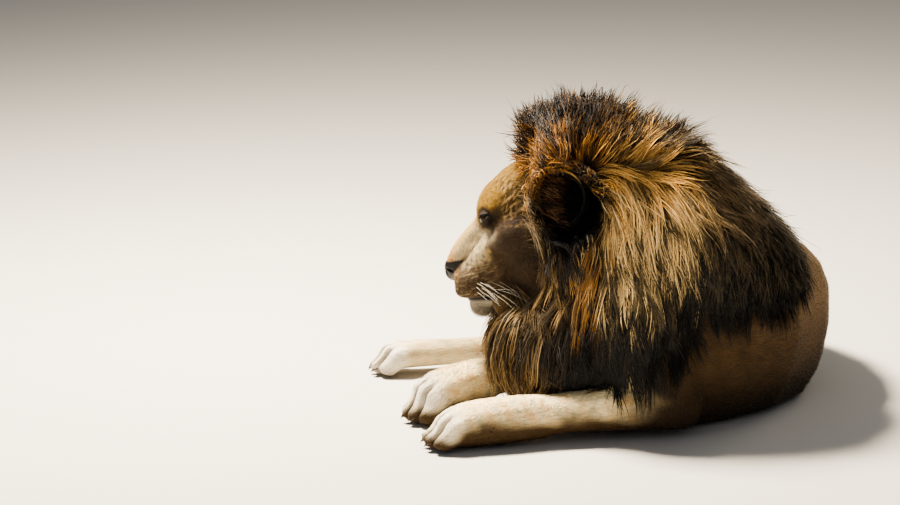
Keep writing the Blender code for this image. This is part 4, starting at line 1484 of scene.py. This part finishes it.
class LION_OT_coat(bpy.types.Operator):
    """Makes the short coat of body, legs, face and feet"""

    bl_idname = "lion.coat"
    bl_label = "Coat"

    def execute(self, context):
        skin = Surface(made["skin_object"])
        _, _, height = nearest_on(tree_of(made["wool_object"]), skin.points)
        density, length, width, lift = skin_density(skin.points, step(height, -0.012, 0.0))
        length = length + 0.016 * step(from_mane(skin.points), 0.05, 0.012)
        roots, normals, places, (lie, length, width, lift) = skin.scatter(
            density * settings().tufts * hair_share(), seed=41,
            fields=(made["lie"], length, width, lift))
        x, _, z = to_head(roots).T
        high = (roots - TOES)[:, 2]
        face, legs = (x > -0.2) & (z > -0.33) & (high > 0.2), high < 0.16
        for name, chosen in (("face", face), ("legs", legs), ("body", ~(face | legs))):
            for j, lot in enumerate(lots(np.flatnonzero(chosen), SHORT_LOT)):
                piece = short_tufts(f"coat_{name}_{j}", roots[lot], normals[lot], places[lot],
                                    lie[lot], length[lot, 0], width[lot, 0], lift[lot, 0],
                                    seed=42 + j)
        self.tail(skin)
        print("coat tufts", len(roots))
        return {"FINISHED"}

    def tail(self, skin):
        """The dark tuft of long hair round the end of the tail."""
        rng = np.random.default_rng(65)
        low, high = (np.array(corner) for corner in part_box("tail_tuft"))
        inside = ((skin.points > low - 0.004) & (skin.points < high + 0.004)).all(axis=1)
        roots, normals, places, (lie,) = skin.scatter(
            inside * TAIL_HAIRS * hair_share(), seed=66, fields=(made["lie"],))
        along = unit(lie.mean(axis=0))
        left = (points_of(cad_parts["tail_tuft"].data) @ along).max() - roots @ along
        length = np.minimum(0.075, 0.012 + 0.8 * left) * rng.uniform(0.7, 1.15, len(roots))
        heading = unit(unit(lie) + rng.normal(0, 0.10, lie.shape))
        spine = long_hair(roots, normals, heading, length, 0.22, 0.20, 0.0)
        width = thickness((0.0010, 0.0012, 0.0010, 0.0006), len(roots), rng)
        tint = TINTS["dark"] * rng.uniform(0.6, 2.2, (len(roots), 1, 1)) * (0.7 + 0.8 * LONG_HAIR)
        piece = spikes("coat_tail_tuft", spine, width, normals, tint, places)


class LION_OT_eyes(bpy.types.Operator):
    """Makes the eyes: balls with a bulging cornea, looking the way the lids open"""

    bl_idname = "lion.eyes"
    bl_label = "Eyes"

    def execute(self, context):
        for side, sign in (("left", 1), ("right", -1)):
            looks = (EYE_LOOKS * (1, sign, 1)) @ HEAD
            level = unit(np.cross((0, 0, 1.0), looks))
            rings = np.linspace(0, math.pi, 49)[1:-1]
            turns = np.linspace(0, 2 * math.pi, 64, endpoint=False)
            bulge = EYE_RADIUS - EYE_SLACK + CORNEA * bell(rings, 0.55, 4)
            ring = (np.cos(turns)[:, None] * level + np.sin(turns)[:, None]
                    * np.cross(looks, level))[None]
            body = bulge[:, None, None] * (np.cos(rings)[:, None, None] * looks
                                           + np.sin(rings)[:, None, None] * ring)
            ends = np.array([looks * (EYE_RADIUS - EYE_SLACK + CORNEA),
                             -looks * (EYE_RADIUS - EYE_SLACK)])
            points = np.concatenate([body.reshape(-1, 3), ends]) + centre(f"eye_{side}")
            eye = mesh_from(f"eyeball_{side}", points, closed_grid(rings.size, turns.size))
            out = np.concatenate([np.repeat(rings, turns.size), (0, math.pi)]) / (math.pi / 2)
            put(eye.data, "outward", "FLOAT", "value", out)
            eye.data.materials.append(made["eye"])
            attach(eye, "root")
            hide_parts(f"eye_{side}")
        return {"FINISHED"}


class LION_OT_whiskers(bpy.types.Operator):
    """Makes the whiskers, in rows on each side of the upper lip"""

    bl_idname = "lion.whiskers"
    bl_label = "Whiskers"

    def execute(self, context):
        rng = np.random.default_rng(51)
        starts, headings, reach = [], [], []
        for sign in (1, -1):
            for row in range(1, 4):
                for column in range(5):
                    x = 0.024 + 0.011 * column - 0.003 * row
                    z = mouth_level(x) + 0.008 + 0.0105 * row
                    starts.append((x, sign * 0.09, z))
                    headings.append((-0.80 + 0.10 * column, sign * 0.62, -0.34 + 0.06 * row))
                    reach.append(0.105 - 0.008 * column)
        starts = from_head(np.array(starts) + rng.normal(0, 0.001, (len(starts), 3)))
        roots, normals, _ = nearest_on(tree_of(made["skin_object"]), starts)
        heading = unit(unit(np.array(headings)) @ HEAD + rng.normal(0, 0.12, (len(starts), 3)))
        length = np.array(reach) * rng.uniform(0.75, 1.15, len(starts))
        at = np.linspace(0, 1, 7)[None, :, None]
        bend = heading[:, None] * at + np.array((0, 0, -0.16)) * at ** 2.2
        spine = roots[:, None] + length[:, None, None] * bend
        spine[:, 0] -= normals * 0.003
        width = np.repeat((0.00042 * np.linspace(1, 0.3, 6))[None], len(starts), axis=0)
        colours = np.tile(linear("#efe9dd"), (len(starts), 7, 1))
        piece = spikes("whiskers", spine, width, normals, colours,
                       np.full((len(roots), 2), 0.5), flat=1.0, material="bristle")
        return {"FINISHED"}


class LION_OT_claws(bpy.types.Operator):
    """Makes the claws: four dark hooks on each foot, sheathed to their tips"""

    bl_idname = "lion.claws"
    bl_label = "Claws"

    def execute(self, context):
        starts, ahead = [], []
        for heading, side, reach, middle, spacing, _ in FEET:
            for toe in (-1.5, -0.5, 0.5, 1.5):
                start = heading * (reach + 0.004) + side * (middle + toe * spacing)
                starts.append(start + (0, 0, 0.016))
                ahead.append(heading)
        roots, _, _ = nearest_on(tree_of(made["skin_object"]), np.array(starts))
        ahead = np.array(ahead)[:, None]
        at = np.linspace(0, 1, 6)[None, :, None]
        spine = roots[:, None] + ahead * (0.014 * at ** 0.8 - 0.0095)
        spine = spine + np.array((0, 0, 1.0)) * (0.001 - 0.009 * at ** 2)
        width = np.repeat(0.0030 * np.array([[1.0, 1.0, 0.85, 0.65, 0.35]]), len(roots), axis=0)
        shades = linear("#3a2f26") * (1 + 0.8 * at) + np.zeros((len(roots), 1, 3))
        upward = np.tile((0, 0, 1.0), (len(roots), 1))
        piece = spikes("claws", spine, width, upward, shades,
                       np.full((len(roots), 2), 0.5), flat=1.3, material="claw")
        return {"FINISHED"}


class LION_OT_stage(bpy.types.Operator):
    """Makes the pale floor, the soft lights and the camera"""

    bl_idname = "lion.stage"
    bl_label = "Stage"

    def execute(self, context):
        bpy.ops.mesh.primitive_plane_add(size=FLOOR_SIDE, location=(0, 0, 0))
        floor = context.object
        floor.name = "floor"
        material, _, shader = new_material("matt studio floor", 0.9, 0.2)
        shader.inputs["Base Color"].default_value = (*linear("#cfcbc4"), 1)
        floor.data.materials.append(material)
        world = bpy.data.worlds.new("studio")
        world.use_nodes = True
        back = world.node_tree.nodes["Background"]
        back.inputs["Color"].default_value = (*linear("#dfe3e8"), 1)
        back.inputs["Strength"].default_value = SKY
        context.scene.world = world
        context.scene.view_settings.look = "AgX - Medium High Contrast"
        aim = centre("trunk")
        for name, offset, size, power, code in (
            ("key", (-1.6, 0.5, 3.0), 0.7, 700, "#fff1dc"),
            ("fill", (-1.2, -3.0, 1.4), 3.0, 10, "#eef2ff"),
            ("rim", (2.2, 1.8, 1.8), 1.5, 30, "#fff4e2"),
        ):
            light = bpy.data.lights.new(name, "AREA")
            light.size, light.energy = size, power
            light.color = linear(code)
            lamp = new_object(name, light)
            lamp.location = Vector(aim) + Vector(offset)
            lamp.rotation_euler = (-Vector(offset)).to_track_quat("-Z", "Y").to_euler()
        lens = bpy.data.cameras.new("camera")
        lens.lens, lens.sensor_width = LENS, FILM
        camera = new_object("camera", lens)
        camera.location = TOES + CAMERA_FROM_TOES
        camera.rotation_euler = Euler((math.radians(90 - CAMERA_DOWN), 0, 0))
        context.scene.camera = camera
        return {"FINISHED"}


# ------------------------------------------------------------------ the add-on
STEPS = (LION_OT_materials, LION_OT_skin, LION_OT_wool, LION_OT_mane, LION_OT_fringe,
         LION_OT_coat, LION_OT_eyes, LION_OT_whiskers, LION_OT_claws, LION_OT_stage)


class LION_PT_panel(bpy.types.Panel):
    """The lion's settings and its steps in order"""

    bl_idname = "LION_PT_panel"
    bl_label = "Lion"
    bl_space_type = "VIEW_3D"
    bl_region_type = "UI"
    bl_category = "Lion"

    def draw(self, context):
        for name in LionSettings.__annotations__:
            self.layout.prop(context.scene.lion, name)
        for step_class in STEPS:
            self.layout.operator(step_class.bl_idname)


def register():
    for kind in (LionSettings, *STEPS, LION_PT_panel):
        bpy.utils.register_class(kind)
    bpy.types.Scene.lion = bpy.props.PointerProperty(type=LionSettings)


def unregister():
    del bpy.types.Scene.lion
    for kind in reversed((LionSettings, *STEPS, LION_PT_panel)):
        bpy.utils.unregister_class(kind)


def main():
    register()
    bpy.ops.lion.materials()
    bpy.ops.lion.skin()
    bpy.ops.lion.wool()
    bpy.ops.lion.mane()
    bpy.ops.lion.fringe()
    bpy.ops.lion.coat()
    bpy.ops.lion.eyes()
    bpy.ops.lion.whiskers()
    bpy.ops.lion.claws()
    bpy.ops.lion.stage()


if __name__ == "__main__":
    main()
